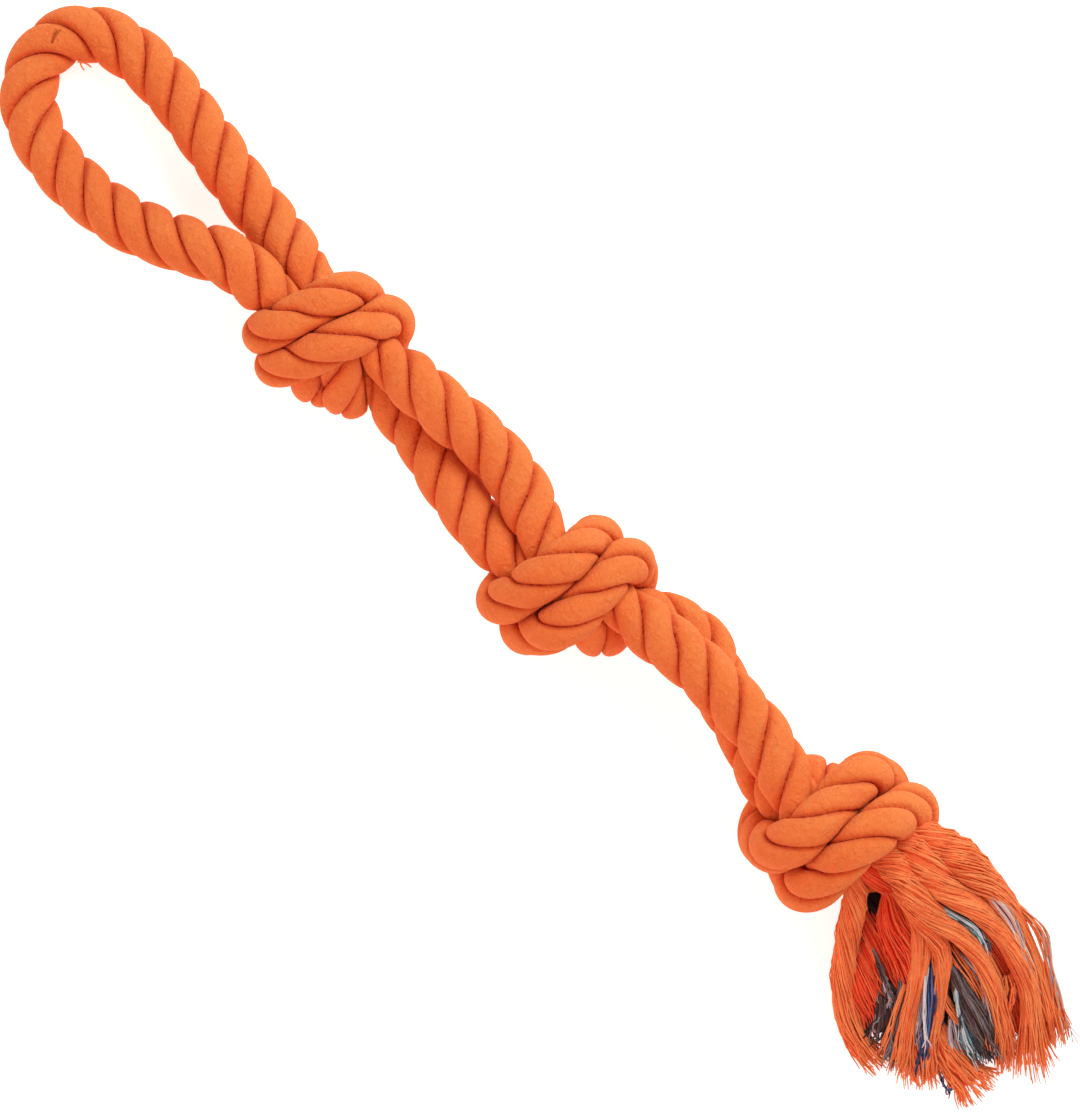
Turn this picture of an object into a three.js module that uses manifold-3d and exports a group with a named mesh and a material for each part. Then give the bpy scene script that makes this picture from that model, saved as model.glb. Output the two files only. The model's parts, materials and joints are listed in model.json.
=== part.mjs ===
// A dog's tug toy made of one length of thick three-strand cotton rope. The rope is folded in
// half, so that its bight makes a handle loop, and the two halves, the legs, lie side by side.
// Three overhand knots are tied in the doubled rope, and the two ends are opened into a tassel.
// Lengths are in millimetres. The toy lies on the floor: +X runs from the loop to the tassel,
// +Z is up, and the origin is under the middle of its outline, on the floor.

import * as THREE from 'three';
import { mergeVertices } from 'three/addons/utils/BufferGeometryUtils.js';
import Module from 'manifold-3d';

// Driving sizes.
const ropeDiameter = 20;          // the free rope, over its strands
const knotGap = 0.6;              // between two turns as a knot is drawn tight
const pressGap = 1;               // between the solids of two turns that press on each other
const endGap = 0.3;               // between two lengths of rope that meet end to end
const floorThickness = 30;

// Shares of the rope's diameter.
const solidShare = 0.95;          // the solid rope, within the strands' crests
const stepShare = 0.2;            // spacing of the points along the rope
const fineShare = 0.06;           // the same before the route is smoothed
const ringShare = 0.25;           // spacing of the rings of a solid length of rope
const ownShare = 1.6;             // turns nearer than this along the rope don't press
const nearShare = 1.3;            // how far from its middle a knot can touch the floor
const flatShare = 0.1;            // depth of the flats that the toy stands on
const looseShare = 0.03;          // gap that stays between two yarn locks

// The photograph shows the toy from above. Places along and across the toy are read from it in
// pixels, along the toy from the loop's outer edge side and across it, and heights follow them.
const pixelShare = 1 / 58;        // a pixel, as a share of the rope's diameter
const middlePixels = 766;         // the middle of the toy, along it
const floorPixels = [1600, 500];  // the stretch of floor that the toy is cut at
const pixel = pixelShare * ropeDiameter;
const fullTurn = 2 * Math.PI;

// Half of a knot's route, for the middle line between the two legs. Each row holds the place
// along the knot and the distance from its axis, in diameters of the knotted rope, and the angle
// round the axis in turns, from +Y towards +Z. The legs come in along the axis, leave the core at
// the far side, wind back over it, and pass out through the middle of their own turn. The other
// half is the same, turned half round the upright axis.
const halfKnotShares = [
  [-2.3, 0.5, 0.28], [-1.7, 0.56, 0.3], [-1, 0.6, 0.34], [-0.35, 0.55, 0.42],
  [0.25, 0.58, 0.52], [0.7, 0.72, 0.615], [1.05, 1.1, 0.705], [1.02, 1.45, 0.8],
  [0.47, 1.55, 0.9], [0, 1.58, 1], [0, 1.58, 1.125], [0, 1.58, 1.25],
];
const slantShares = [0, 0, 0, 0, 0, 0, 0, 0.03, 0.33, 0.52, 0.26, 0];
const halfPairShare = 0.56;       // half the spacing of the two legs in a knot
const outerShare = 1.5;           // distance from the axis beyond which a turn is an outer one
const mirrorTurns = 2.5;          // sum of the angles of two matching points of the halves
const easeRows = 3.5;             // rows over which a leg's end bends to meet the free rope

// The three knots: where the middle is, how thick the drawn rope is, how far the knot is rolled
// round its axis, its stretch along X and Y, how far its front turns slant and tip, how much the
// right one is larger, how much they spread upwards, and whether the legs are swapped.
const knots = [
  {
    name: 'knot_1', atPixels: [474, -4], ropeShare: 0.55, rollShare: -0.15,
    stretchShares: [1.04, 0.85], slantShare: 0.6, tipShare: 0.02, flareShare: -0.28,
    spreadShare: -0.12, swapped: false,
  },
  {
    name: 'knot_2', atPixels: [821, -11], ropeShare: 0.61, rollShare: -0.05,
    stretchShares: [0.97, 0.92], slantShare: -0.55, tipShare: 0.15, flareShare: 0.38,
    spreadShare: -0.04, swapped: true,
  },
  {
    name: 'knot_3', atPixels: [1178, 15], ropeShare: 0.69, rollShare: 0,
    stretchShares: [0.82, 0.99], slantShare: -0.75, tipShare: 0.2, flareShare: 0.06,
    spreadShare: 0.1, swapped: false,
  },
];

// The free lengths of the rope: along, across and above the knots' axis, in pixels.
const loopPixels = [
  [376, 2, 24], [345, -17, 22], [313, -35, 14], [283, -51, 4], [250, -65, 0], [213, -73, 0],
  [173, -76, 0], [135, -74, 0], [104, -66, 0], [79, -50, 0], [62, -26, 0], [56, 1, 0],
  [61, 26, 0], [78, 46, 0], [104, 57, 0], [135, 61, 0], [173, 61, 0], [213, 56, 0],
  [250, 50, 0], [283, 44, -3], [313, 39, -10], [345, 36, -18], [376, 36, -22],
];
const stretchPixels = [
  [
    [[556, 20, 26], [578, 24, 25], [600, 28, 24], [640, 35, 16], [680, 36, 10], [712, 30, 8]],
    [[556, 2, -27], [578, 2, -26], [600, -2, -24], [640, -14, -16], [680, -22, -10],
      [712, -25, -8]],
  ],
  [
    [[905, 52, -22], [933, 56, -25], [965, 49, -28], [993, 34, -29], [1033, 19, -29],
      [1066, 16, -27]],
    [[905, 30, 24], [933, 29, 26], [965, 30, 28], [993, 31, 29], [1033, 32, 29], [1066, 26, 27]],
  ],
];
const endPixels = [
  [[1244, -8, 2], [1266, -12, 2], [1300, -20, 2]],
  [[1244, 44, 6], [1266, 48, 6], [1300, 56, 6]],
];
// Where the rope is parted into its named lengths: at the neck of the loop and on both sides of
// each knot. The ends go on for a little before they open out.
const partPixels = { loop: 296, knots: [[396, 556], [737, 901], [1096, 1246]] };
const endLengthPixels = 20;
const settleRounds = 420;         // rounds of drawing the knots tight
const restRounds = 60;            // last rounds, which only part the turns
const gripShare = 0.15;           // how hard each round draws the rope straight
const pushShare = 0.22;           // how much of an overlap each round takes away
const knotHalfShare = 1.85;       // how far from its middle the rope of a knot is still thin
const knotFadeShare = 0.6;        // over which it grows thick again
const reachShare = 2;             // how far from its middle a knot is drawn tight
const reachFadeShare = 0.7;
const swellShare = 0.42;          // how much of its thinning the rope keeps where it is free
const swellHalfShare = 1.45;      // how far from its middle the rope of a knot is slimmer
const swellFadeShare = 0.5;
// The loop comes down from the height of the first knot and rests on the floor.
const dropPixels = [400, 110];

// The tassel: each opened strand is a lock of orange cover yarn round grey, blue and pale core
// yarns. Rows hold the place along, across and above the floor, and the radius, in pixels.
const coverLockPixels = [
  { name: 'cover_lock_a1', rows: [[1268, -44, 84, 12], [1286, -70, 76, 12], [1306, -91, 62, 12],
    [1334, -112, 38, 12], [1374, -124, 12, 8]] },
  { name: 'cover_lock_a2', rows: [[1268, -20, 119, 13], [1310, -38, 110, 17],
    [1350, -60, 84, 20], [1395, -82, 52, 20], [1440, -94, 24, 14]] },
  { name: 'cover_lock_a3', rows: [[1268, -4, 88, 13], [1310, -12, 68, 16], [1350, -20, 44, 19],
    [1400, -42, 25, 18], [1455, -60, 15, 12]] },
  { name: 'cover_lock_b1', rows: [[1268, 62, 121, 14], [1310, 83, 114, 18], [1350, 80, 96, 20],
    [1400, 64, 74, 19], [1450, 40, 44, 15], [1492, 14, 20, 10]] },
  { name: 'cover_lock_b2', rows: [[1268, 35, 92, 13], [1310, 26, 108, 16], [1350, 14, 108, 20],
    [1400, -8, 86, 19], [1450, -30, 54, 15], [1478, -42, 34, 10]] },
  { name: 'cover_lock_b3', rows: [[1268, 73, 92, 13], [1310, 70, 74, 16], [1350, 60, 50, 19],
    [1400, 42, 28, 18], [1458, 16, 15, 12]] },
];
const coreLockPixels = [
  { name: 'core_lock_1', look: 'blueYarn', rows: [[1312, 25, 84, 8], [1350, 16, 74, 12.5],
    [1400, -1, 53, 12.5], [1448, -18, 30, 11]] },
  { name: 'core_lock_2', look: 'greyYarn', rows: [[1312, -14, 96, 8], [1350, -25.5, 84, 12],
    [1400, -48, 65, 12], [1446, -73, 41, 12]] },
  { name: 'core_lock_3', look: 'charcoalYarn', rows: [[1316, -48, 64, 8], [1350, -64, 40, 13],
    [1392, -84, 18, 11], [1420, -102, 11, 7.5]] },
  { name: 'core_lock_4', look: 'paleYarn', rows: [[1316, 3.5, 43, 8], [1350, 6, 27, 12],
    [1396, -11, 15, 11], [1430, -27, 12, 10]] },
];

// Small vector helpers on plain triples.
const plus = (a, b, k = 1) => a.map((v, i) => v + k * b[i]);
const minus = (a, b) => a.map((v, i) => v - b[i]);
const cross = (a, b) => [a[1] * b[2] - a[2] * b[1], a[2] * b[0] - a[0] * b[2],
  a[0] * b[1] - a[1] * b[0]];
const unit = (a) => { const r = Math.hypot(...a); return a.map((v) => v / r); };
const distance = (a, b) => Math.hypot(a[0] - b[0], a[1] - b[1], a[2] - b[2]);
const clamp = (v) => Math.min(1, Math.max(0, v));
const smooth = (v) => clamp(v) ** 2 * (3 - 2 * clamp(v));

// A natural cubic curve through the rows of a table, read at count + 1 even steps.
function curveThrough(rows, count) {
  const last = rows.length - 1;
  const bends = rows[0].map((_, k) => {
    const u = [0], z = [0], bend = new Array(last + 1).fill(0);
    for (let i = 1; i < last; i++) {
      const l = 4 - u[i - 1];
      u[i] = 1 / l;
      z[i] = (3 * (rows[i + 1][k] - 2 * rows[i][k] + rows[i - 1][k]) - z[i - 1]) / l;
    }
    for (let i = last - 1; i > 0; i--) bend[i] = z[i] - u[i] * bend[i + 1];
    return bend;
  });
  const out = [];
  for (let j = 0; j <= count; j++) {
    const s = (j / count) * last, i = Math.min(last - 1, Math.floor(s)), f = s - i;
    out.push(rows[i].map((v, k) => {
      const w = rows[i + 1][k], p = bends[k][i], q = bends[k][i + 1];
      return v + f * (w - v - (q + 2 * p) / 3 + f * (p + (f * (q - p)) / 3));
    }));
  }
  return out;
}

// The same line with its points an even step apart.
function evenly(line, step) {
  const along = [0];
  for (let i = 1; i < line.length; i++) along.push(along[i - 1] + distance(line[i], line[i - 1]));
  const total = along[along.length - 1], count = Math.round(total / step), out = [];
  for (let j = 0, i = 0; j <= count; j++) {
    const s = (j / count) * total;
    while (i < along.length - 2 && along[i + 1] < s) i++;
    const f = (s - along[i]) / (along[i + 1] - along[i]);
    out.push(line[i].map((v, c) => v + f * (line[i + 1][c] - v)));
  }
  return out;
}

const place = (p) => [(p[0] - middlePixels) * pixel, p[1] * pixel, p[2] * pixel];
const knotX = knots.map((k) => (k.atPixels[0] - middlePixels) * pixel);

// The two legs of one knot, side by side on a band that lies flat round the knot's core. Their
// ends are eased over to where the free rope leads in and out.
function knotLegs(knot, index, leads) {
  const thick = ropeDiameter * knot.ropeShare;
  const half = halfKnotShares.map(([x, r, t], i) => [x + knot.slantShare * slantShares[i], r, t]);
  const rest = half.slice(0, -1).reverse().map(([x, r, t]) => [-x, r, mirrorTurns - t]);
  const count = 10 * half.length, [sx, sy] = knot.stretchShares;
  const middle = curveThrough([...half, ...rest], count).map(([x, r, t]) => {
    const a = fullTurn * (t + knot.rollShare);
    return { at: [x, r * Math.cos(a), r * Math.sin(a)], out: [0, Math.cos(a), Math.sin(a)], r };
  });
  let legs = [[], []];
  middle.forEach((m, i) => {
    const before = middle[Math.max(0, i - 1)], after = middle[Math.min(count, i + 1)];
    const side = unit(cross(unit(minus(after.at, before.at)), m.out));
    [1, -1].forEach((sign, leg) => {
      const spread = sign * halfPairShare * (1 + knot.spreadShare * m.at[1]);
      const [x, y, z] = plus(m.at, side, spread);
      const tip = knot.tipShare * x * Math.min(1, m.r / outerShare);
      legs[leg].push([
        knotX[index] + thick * x * sx,
        knot.atPixels[1] * pixel + thick * (y * sy * (1 + knot.flareShare * x) + tip),
        thick * z,
      ]);
    });
  });
  if (knot.swapped) legs.reverse();
  const rows = 2 * half.length - 2;
  return legs.map((leg, k) => leads[k].reduce((line, lead, last) => {
    const [, y, z] = minus(place(lead), line[last ? count : 0]);
    return line.map((p, i) => plus(p, [0, y, z],
      smooth(1 - ((last ? count - i : i) / count) * (rows / easeRows))));
  }, leg));
}

// The drawn rope is thinner where a knot grips it.
function thickness(p) {
  let share = 1;
  knots.forEach((k, i) => {
    const past = knotHalfShare - Math.abs(p[0] - knotX[i]) / ropeDiameter;
    share -= (1 - k.ropeShare) * smooth(past / knotFadeShare);
  });
  return ropeDiameter * share;
}

// The radius of the solid rope where nothing presses on it.
function swelling(p) {
  let share = 1;
  knots.forEach((k, i) => {
    const past = swellHalfShare - Math.abs(p[0] - knotX[i]) / ropeDiameter;
    share -= swellShare * (1 - k.ropeShare) * smooth(past / swellFadeShare);
  });
  return (solidShare * ropeDiameter * share) / 2;
}

// Draws the knots tight: each round parts the turns that press into each other and draws every
// point towards the middle of its neighbours. Free lengths stay where the photograph shows them.
function drawTight(line) {
  const step = stepShare * ropeDiameter;
  const skip = Math.round(ownShare / stepShare);
  for (let round = 0; round < settleRounds + restRounds; round++) {
    const grip = round < settleRounds ? gripShare : gripShare / 6;
    const move = line.map(() => [0, 0, 0]);
    const wide = line.map(thickness);
    for (let i = 0; i < line.length; i++) {
      for (let j = i + skip; j < line.length; j++) {
        const need = (wide[i] + wide[j]) / 2 + knotGap, d = distance(line[i], line[j]);
        if (d >= need) continue;
        const push = (pushShare * (need - d)) / d, apart = minus(line[i], line[j]);
        move[i] = plus(move[i], apart, push);
        move[j] = plus(move[j], apart, -push);
      }
    }
    line = line.map((p, i) => {
      if (i === 0 || i === line.length - 1) return p;
      const free = Math.max(...knotX.map((x) => clamp(
        (reachShare - Math.abs(p[0] - x) / ropeDiameter) / reachFadeShare)));
      const middle = plus(line[i - 1], line[i + 1]).map((v) => v / 2);
      return plus(plus(p, move[i], free), minus(middle, p), free * grip);
    });
    if (round % 20 === 19) line = evenly(line, step);
  }
  return line;
}

// One rope: from the end of the first leg through the three knots, round the handle loop and back
// through the knots to the other end.
function ropeRoute() {
  const back = (list) => list.slice().reverse();
  const top = loopPixels.length - 1;
  const before = [[loopPixels[0], loopPixels[top]], ...stretchPixels.map((s) => s.map(
    (leg) => leg[leg.length - 1]))];
  const after = [...stretchPixels, endPixels].map((s) => s.map((leg) => leg[0]));
  const tied = knots.map((knot, i) => knotLegs(knot, i, [0, 1].map(
    (leg) => [before[i][leg], after[i][leg]])));
  const [s1, s2] = stretchPixels.map((pair) => pair.map((leg) => leg.map(place)));
  const ends = endPixels.map((leg) => leg.map(place));
  const rough = [
    ...back(ends[0]), ...back(tied[2][0]), ...back(s2[0]), ...back(tied[1][0]), ...back(s1[0]),
    ...back(tied[0][0]), ...loopPixels.map(place), ...tied[0][1], ...s1[1], ...tied[1][1],
    ...s2[1], ...tied[2][1], ...ends[1],
  ];
  let line = evenly(rough, fineShare * ropeDiameter);
  for (let k = 0; k < 6; k++) {
    line = line.map((p, i) => (i && i < line.length - 1
      ? plus(p.map((v) => v / 2), plus(line[i - 1], line[i + 1]), 0.25) : p));
  }
  return drawTight(evenly(line, stepShare * ropeDiameter));
}

// Sets each knot on the floor, on flats a tenth of its rope deep, and lowers the loop to it.
function standOnFloor(line) {
  const lifts = knotX.map((x) => {
    const near = line.filter((p) => Math.abs(p[0] - x) < nearShare * ropeDiameter);
    return -Math.min(...near.map((p) => p[2] - swelling(p))) - flatShare * 2 * swelling([x]);
  });
  const loopLift = solidShare * ropeDiameter * (0.5 - flatShare);
  const [from, to] = dropPixels.map((u) => (u - middlePixels) * pixel);
  return line.map((p) => {
    let lift = lifts[0];
    if (p[0] > knotX[1]) {
      lift = lifts[1] + (lifts[2] - lifts[1]) * smooth((p[0] - knotX[1]) / (knotX[2] - knotX[1]));
    } else if (p[0] > knotX[0]) {
      lift = lifts[0] + (lifts[1] - lifts[0]) * smooth((p[0] - knotX[0]) / (knotX[1] - knotX[0]));
    } else {
      lift += (loopLift - lifts[0]) * smooth((from - p[0]) / (from - to));
    }
    return [p[0], p[1], p[2] + lift];
  });
}

// How far a length of rope can swell from a point of its line in a direction, before it is as
// near to another turn as to its own line. Turns so press flat against each other.
function roomIn(route) {
  return (p, direction) => {
    const own = route.reduce((best, q, i) => (
      distance(p, q) < distance(p, route[best]) ? i : best), 0);
    let room = ropeDiameter;
    route.forEach((q, i) => {
      if (Math.abs(i - own) * stepShare < ownShare) return;
      const to = minus(q, p), reach = to.reduce((s, v, c) => s + v * direction[c], 0);
      if (reach > 0) room = Math.min(room, distance(p, q) ** 2 / (2 * reach) - pressGap / 2);
    });
    return room;
  };
}

// A closed tube through rings of corners round a line. The frame is carried along the line
// without twisting. The ends are flat, and square to the directions given for them.
function tube(line, radii, sides, [first, last] = [], room) {
  const along = line.map((p, i) => unit(minus(line[Math.min(line.length - 1, i + 1)],
    line[Math.max(0, i - 1)])));
  if (first) along[0] = first;
  if (last) along[line.length - 1] = last;
  let side = unit(cross(along[0], Math.abs(along[0][2]) < 0.9 ? [0, 0, 1] : [0, 1, 0]));
  const positions = [], faces = [];
  line.forEach((p, i) => {
    side = unit(plus(side, along[i], -side.reduce((s, v, c) => s + v * along[i][c], 0)));
    const up = cross(along[i], side);
    for (let k = 0; k < sides; k++) {
      const a = (fullTurn * (k + 0.5)) / sides;
      const out = plus(side.map((v) => v * Math.cos(a)), up, Math.sin(a));
      positions.push(...plus(p, out, room ? Math.min(radii[i], room(p, out)) : radii[i]));
    }
  });
  for (let i = 0; i < line.length - 1; i++) {
    for (let k = 0; k < sides; k++) {
      const a = i * sides + k, b = i * sides + ((k + 1) % sides);
      faces.push(a, b, b + sides, a, b + sides, a + sides);
    }
  }
  const top = (line.length - 1) * sides;
  for (let k = 1; k < sides - 1; k++) faces.push(0, k + 1, k, top, top + k, top + k + 1);
  const geometry = new THREE.BufferGeometry();
  geometry.setAttribute('position', new THREE.Float32BufferAttribute(positions, 3));
  geometry.setIndex(faces);
  return geometry;
}

const wasm = await Module();
wasm.setup();

function solid(geometry) {
  const bare = geometry.clone();
  bare.deleteAttribute('normal');
  bare.deleteAttribute('uv');
  const merged = mergeVertices(bare);
  return new wasm.Manifold(new wasm.Mesh({
    numProp: 3, vertProperties: merged.attributes.position.array,
    triVerts: new Uint32Array(merged.index.array),
  }));
}

// Cuts off what would reach below the floor, which leaves the flats that the toy stands on.
function cutAtFloor(geometry, floor) {
  geometry.computeBoundingBox();
  if (geometry.boundingBox.min.z >= 0) return geometry;
  const mesh = solid(geometry).subtract(floor).getMesh();
  const out = new THREE.BufferGeometry();
  out.setAttribute('position', new THREE.Float32BufferAttribute(mesh.vertProperties, 3));
  out.setIndex([...mesh.triVerts]);
  return out;
}

const looks = {
  rope: { color: 0xf2703a, roughness: 0.95 },
  coverYarn: { color: 0xff6a28, roughness: 0.95 },
  blueYarn: { color: 0x2f4a86, roughness: 0.95 },
  greyYarn: { color: 0x8fa3b0, roughness: 0.95 },
  charcoalYarn: { color: 0x3a3f44, roughness: 0.95 },
  paleYarn: { color: 0xd9dde0, roughness: 0.95 },
};

const route = standOnFloor(ropeRoute());
const bight = route.reduce((best, p, i) => (p[0] < route[best][0] ? i : best), 0);
const legs = [route.slice(0, bight + 1).reverse(), route.slice(bight)];

const room = roomIn(route);
let length = 0;
for (let i = 1; i < route.length; i++) length += distance(route[i], route[i - 1]);
console.log(`rope ${length.toFixed(0)} mm long`);

// The point where a leg passes a place along the toy, between two knots, and its direction.
function passing(leg, atPixels) {
  const x = (atPixels - middlePixels) * pixel;
  const index = leg.findIndex((p, i) => i > 0 && p[0] >= x
    && leg.slice(i, i + 4).every((q) => q[0] >= x));
  const a = leg[index - 1], b = leg[index], f = (x - a[0]) / (b[0] - a[0]);
  return { index, point: plus(a, minus(b, a), f), way: unit(minus(leg[index + 1], leg[index - 2])) };
}

// A length of one leg between two places along the toy, half a gap short at both ends.
function lengthOf(leg, fromPixels, toPixels) {
  const a = passing(leg, fromPixels), b = passing(leg, toPixels);
  const line = [plus(a.point, a.way, endGap / 2), ...leg.slice(a.index + 1, b.index - 1),
    plus(b.point, b.way, -endGap / 2)];
  return { line, ways: [a.way, b.way] };
}

const group = new THREE.Group();
group.name = 'rope_tug_toy';
const [floorX, floorY] = floorPixels.map((v) => v * pixel);
const floor = solid(new THREE.BoxGeometry(floorX, floorY, floorThickness)
  .translate(0, 0, -floorThickness / 2));

function add(name, line, radii, sides, look, ways, space) {
  const geometry = cutAtFloor(tube(line, radii, sides, ways, space), floor);
  geometry.computeVertexNormals();
  const mesh = new THREE.Mesh(geometry, new THREE.MeshStandardMaterial(
    { ...looks[look], metalness: 0 }));
  mesh.name = name;
  group.add(mesh);
}

function addRope(name, { line, ways }, sides) {
  const even = evenly(line, ringShare * ropeDiameter);
  add(name, even, even.map(swelling), sides, 'rope', ways, room);
}

const [loopA, loopB] = legs.map((leg) => {
  const { index, point, way } = passing(leg, partPixels.loop);
  return { line: [...leg.slice(0, index - 1), plus(point, way, -endGap / 2)], way };
});
addRope('handle_loop', {
  line: [...loopA.line.slice(1).reverse(), ...loopB.line],
  ways: [loopA.way.map((v) => -v), loopB.way],
}, 10);
['a', 'b'].forEach((side, leg) => {
  let from = partPixels.loop;
  partPixels.knots.forEach(([start, end], i) => {
    addRope(`${i ? `stretch_${i}` : 'neck'}_leg_${side}`, lengthOf(legs[leg], from, start), 10);
    addRope(`${knots[i].name}_leg_${side}`, lengthOf(legs[leg], start, end), 12);
    from = end;
  });
  const end = lengthOf(legs[leg], from, from + endLengthPixels);
  end.ways[1] = [1, 0, 0];
  addRope(`rope_end_${side}`, end, 10);
});

// A lock is a soft bundle that swells past its root and thins towards its cut end.
function addLock({ name, rows, look }) {
  const line = curveThrough(rows, 3 * (rows.length - 1));
  add(name, line.map(place), line.map((p) => p[3] * pixel - (looseShare * ropeDiameter) / 2),
    8, look || 'coverYarn', look ? undefined : [[1, 0, 0]]);
}
coverLockPixels.forEach(addLock);
coreLockPixels.forEach(addLock);

// The origin goes under the middle of the outline.
const box = new THREE.Box3().setFromObject(group);
const centre = box.getCenter(new THREE.Vector3());
group.children.forEach((mesh) => mesh.position.set(-centre.x, -centre.y, 0));

export default group;
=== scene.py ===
"""A dog's tug toy of thick orange cotton rope: a handle loop, three overhand knots tied in the
doubled rope, and a tassel of opened yarns. Lengths are in metres. The toy lies on a pale floor
and is seen from straight above."""
import json

import bpy
import numpy as np
from mathutils import Vector
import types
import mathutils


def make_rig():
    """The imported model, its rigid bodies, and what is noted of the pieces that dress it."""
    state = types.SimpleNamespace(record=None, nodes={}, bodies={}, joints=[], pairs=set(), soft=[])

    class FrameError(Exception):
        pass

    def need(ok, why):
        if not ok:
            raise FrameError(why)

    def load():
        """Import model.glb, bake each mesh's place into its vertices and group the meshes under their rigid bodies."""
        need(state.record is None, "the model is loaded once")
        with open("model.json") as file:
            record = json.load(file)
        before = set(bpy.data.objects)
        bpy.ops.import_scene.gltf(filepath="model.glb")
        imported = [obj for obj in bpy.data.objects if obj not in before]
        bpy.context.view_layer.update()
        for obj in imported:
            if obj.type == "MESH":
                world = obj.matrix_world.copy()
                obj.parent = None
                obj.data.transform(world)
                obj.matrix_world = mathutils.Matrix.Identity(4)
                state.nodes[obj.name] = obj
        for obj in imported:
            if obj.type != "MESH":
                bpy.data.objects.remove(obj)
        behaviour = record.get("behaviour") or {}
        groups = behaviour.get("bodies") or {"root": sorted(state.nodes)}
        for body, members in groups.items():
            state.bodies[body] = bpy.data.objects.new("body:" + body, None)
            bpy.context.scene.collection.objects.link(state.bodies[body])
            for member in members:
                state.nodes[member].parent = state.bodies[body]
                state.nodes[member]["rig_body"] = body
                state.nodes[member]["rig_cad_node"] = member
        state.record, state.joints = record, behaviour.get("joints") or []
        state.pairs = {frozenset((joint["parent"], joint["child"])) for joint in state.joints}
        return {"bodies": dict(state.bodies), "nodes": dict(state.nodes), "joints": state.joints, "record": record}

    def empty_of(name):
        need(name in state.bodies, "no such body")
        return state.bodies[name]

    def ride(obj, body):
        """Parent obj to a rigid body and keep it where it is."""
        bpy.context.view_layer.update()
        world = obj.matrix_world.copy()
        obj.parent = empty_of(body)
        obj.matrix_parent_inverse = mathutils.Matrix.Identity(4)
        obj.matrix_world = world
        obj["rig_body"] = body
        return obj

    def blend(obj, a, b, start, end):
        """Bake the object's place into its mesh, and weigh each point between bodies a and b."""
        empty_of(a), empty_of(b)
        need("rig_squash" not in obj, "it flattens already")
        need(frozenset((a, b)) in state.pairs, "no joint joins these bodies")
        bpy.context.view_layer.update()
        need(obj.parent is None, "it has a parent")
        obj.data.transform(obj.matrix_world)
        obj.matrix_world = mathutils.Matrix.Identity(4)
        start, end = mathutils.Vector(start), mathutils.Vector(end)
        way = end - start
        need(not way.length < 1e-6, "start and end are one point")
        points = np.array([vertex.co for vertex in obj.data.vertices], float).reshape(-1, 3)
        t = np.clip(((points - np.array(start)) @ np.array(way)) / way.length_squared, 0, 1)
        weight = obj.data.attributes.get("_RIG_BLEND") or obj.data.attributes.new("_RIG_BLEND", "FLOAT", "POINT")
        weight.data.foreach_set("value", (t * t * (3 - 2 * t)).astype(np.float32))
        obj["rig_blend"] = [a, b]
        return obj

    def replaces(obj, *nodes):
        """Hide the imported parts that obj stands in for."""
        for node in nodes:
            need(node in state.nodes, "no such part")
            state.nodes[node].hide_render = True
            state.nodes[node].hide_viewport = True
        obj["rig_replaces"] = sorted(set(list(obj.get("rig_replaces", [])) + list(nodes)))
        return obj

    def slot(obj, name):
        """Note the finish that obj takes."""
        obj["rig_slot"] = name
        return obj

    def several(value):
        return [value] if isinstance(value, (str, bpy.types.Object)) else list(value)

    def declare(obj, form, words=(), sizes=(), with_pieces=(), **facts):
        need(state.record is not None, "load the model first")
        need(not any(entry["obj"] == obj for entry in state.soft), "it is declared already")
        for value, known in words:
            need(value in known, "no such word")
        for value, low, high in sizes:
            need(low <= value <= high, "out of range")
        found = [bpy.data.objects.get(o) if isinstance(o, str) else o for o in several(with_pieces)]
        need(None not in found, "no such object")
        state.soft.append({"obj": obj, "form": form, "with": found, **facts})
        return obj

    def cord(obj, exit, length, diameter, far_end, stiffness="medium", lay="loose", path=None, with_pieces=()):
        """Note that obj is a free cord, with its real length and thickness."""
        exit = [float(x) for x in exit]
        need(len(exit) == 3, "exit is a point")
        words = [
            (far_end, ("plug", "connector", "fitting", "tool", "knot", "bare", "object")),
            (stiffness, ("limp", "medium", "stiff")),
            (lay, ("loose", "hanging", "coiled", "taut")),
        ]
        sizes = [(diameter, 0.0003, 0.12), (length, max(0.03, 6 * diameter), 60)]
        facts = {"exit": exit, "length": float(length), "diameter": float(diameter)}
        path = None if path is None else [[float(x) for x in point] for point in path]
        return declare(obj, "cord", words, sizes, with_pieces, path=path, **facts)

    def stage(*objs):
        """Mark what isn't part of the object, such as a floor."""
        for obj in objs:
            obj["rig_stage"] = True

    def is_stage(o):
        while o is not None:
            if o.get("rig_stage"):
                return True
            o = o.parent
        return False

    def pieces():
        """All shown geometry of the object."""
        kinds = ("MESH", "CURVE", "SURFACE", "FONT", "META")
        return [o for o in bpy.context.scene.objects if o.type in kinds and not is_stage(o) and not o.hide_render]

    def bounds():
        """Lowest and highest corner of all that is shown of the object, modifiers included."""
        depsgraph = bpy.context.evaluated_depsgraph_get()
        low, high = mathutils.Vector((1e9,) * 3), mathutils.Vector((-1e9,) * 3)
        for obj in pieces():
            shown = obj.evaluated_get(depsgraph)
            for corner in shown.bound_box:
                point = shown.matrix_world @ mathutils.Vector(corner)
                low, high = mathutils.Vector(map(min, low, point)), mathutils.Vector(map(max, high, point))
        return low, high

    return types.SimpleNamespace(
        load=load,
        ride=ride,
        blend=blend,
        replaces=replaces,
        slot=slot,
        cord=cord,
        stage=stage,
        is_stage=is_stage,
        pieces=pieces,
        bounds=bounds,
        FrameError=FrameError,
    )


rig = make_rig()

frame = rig.load()
solid_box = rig.bounds()

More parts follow.
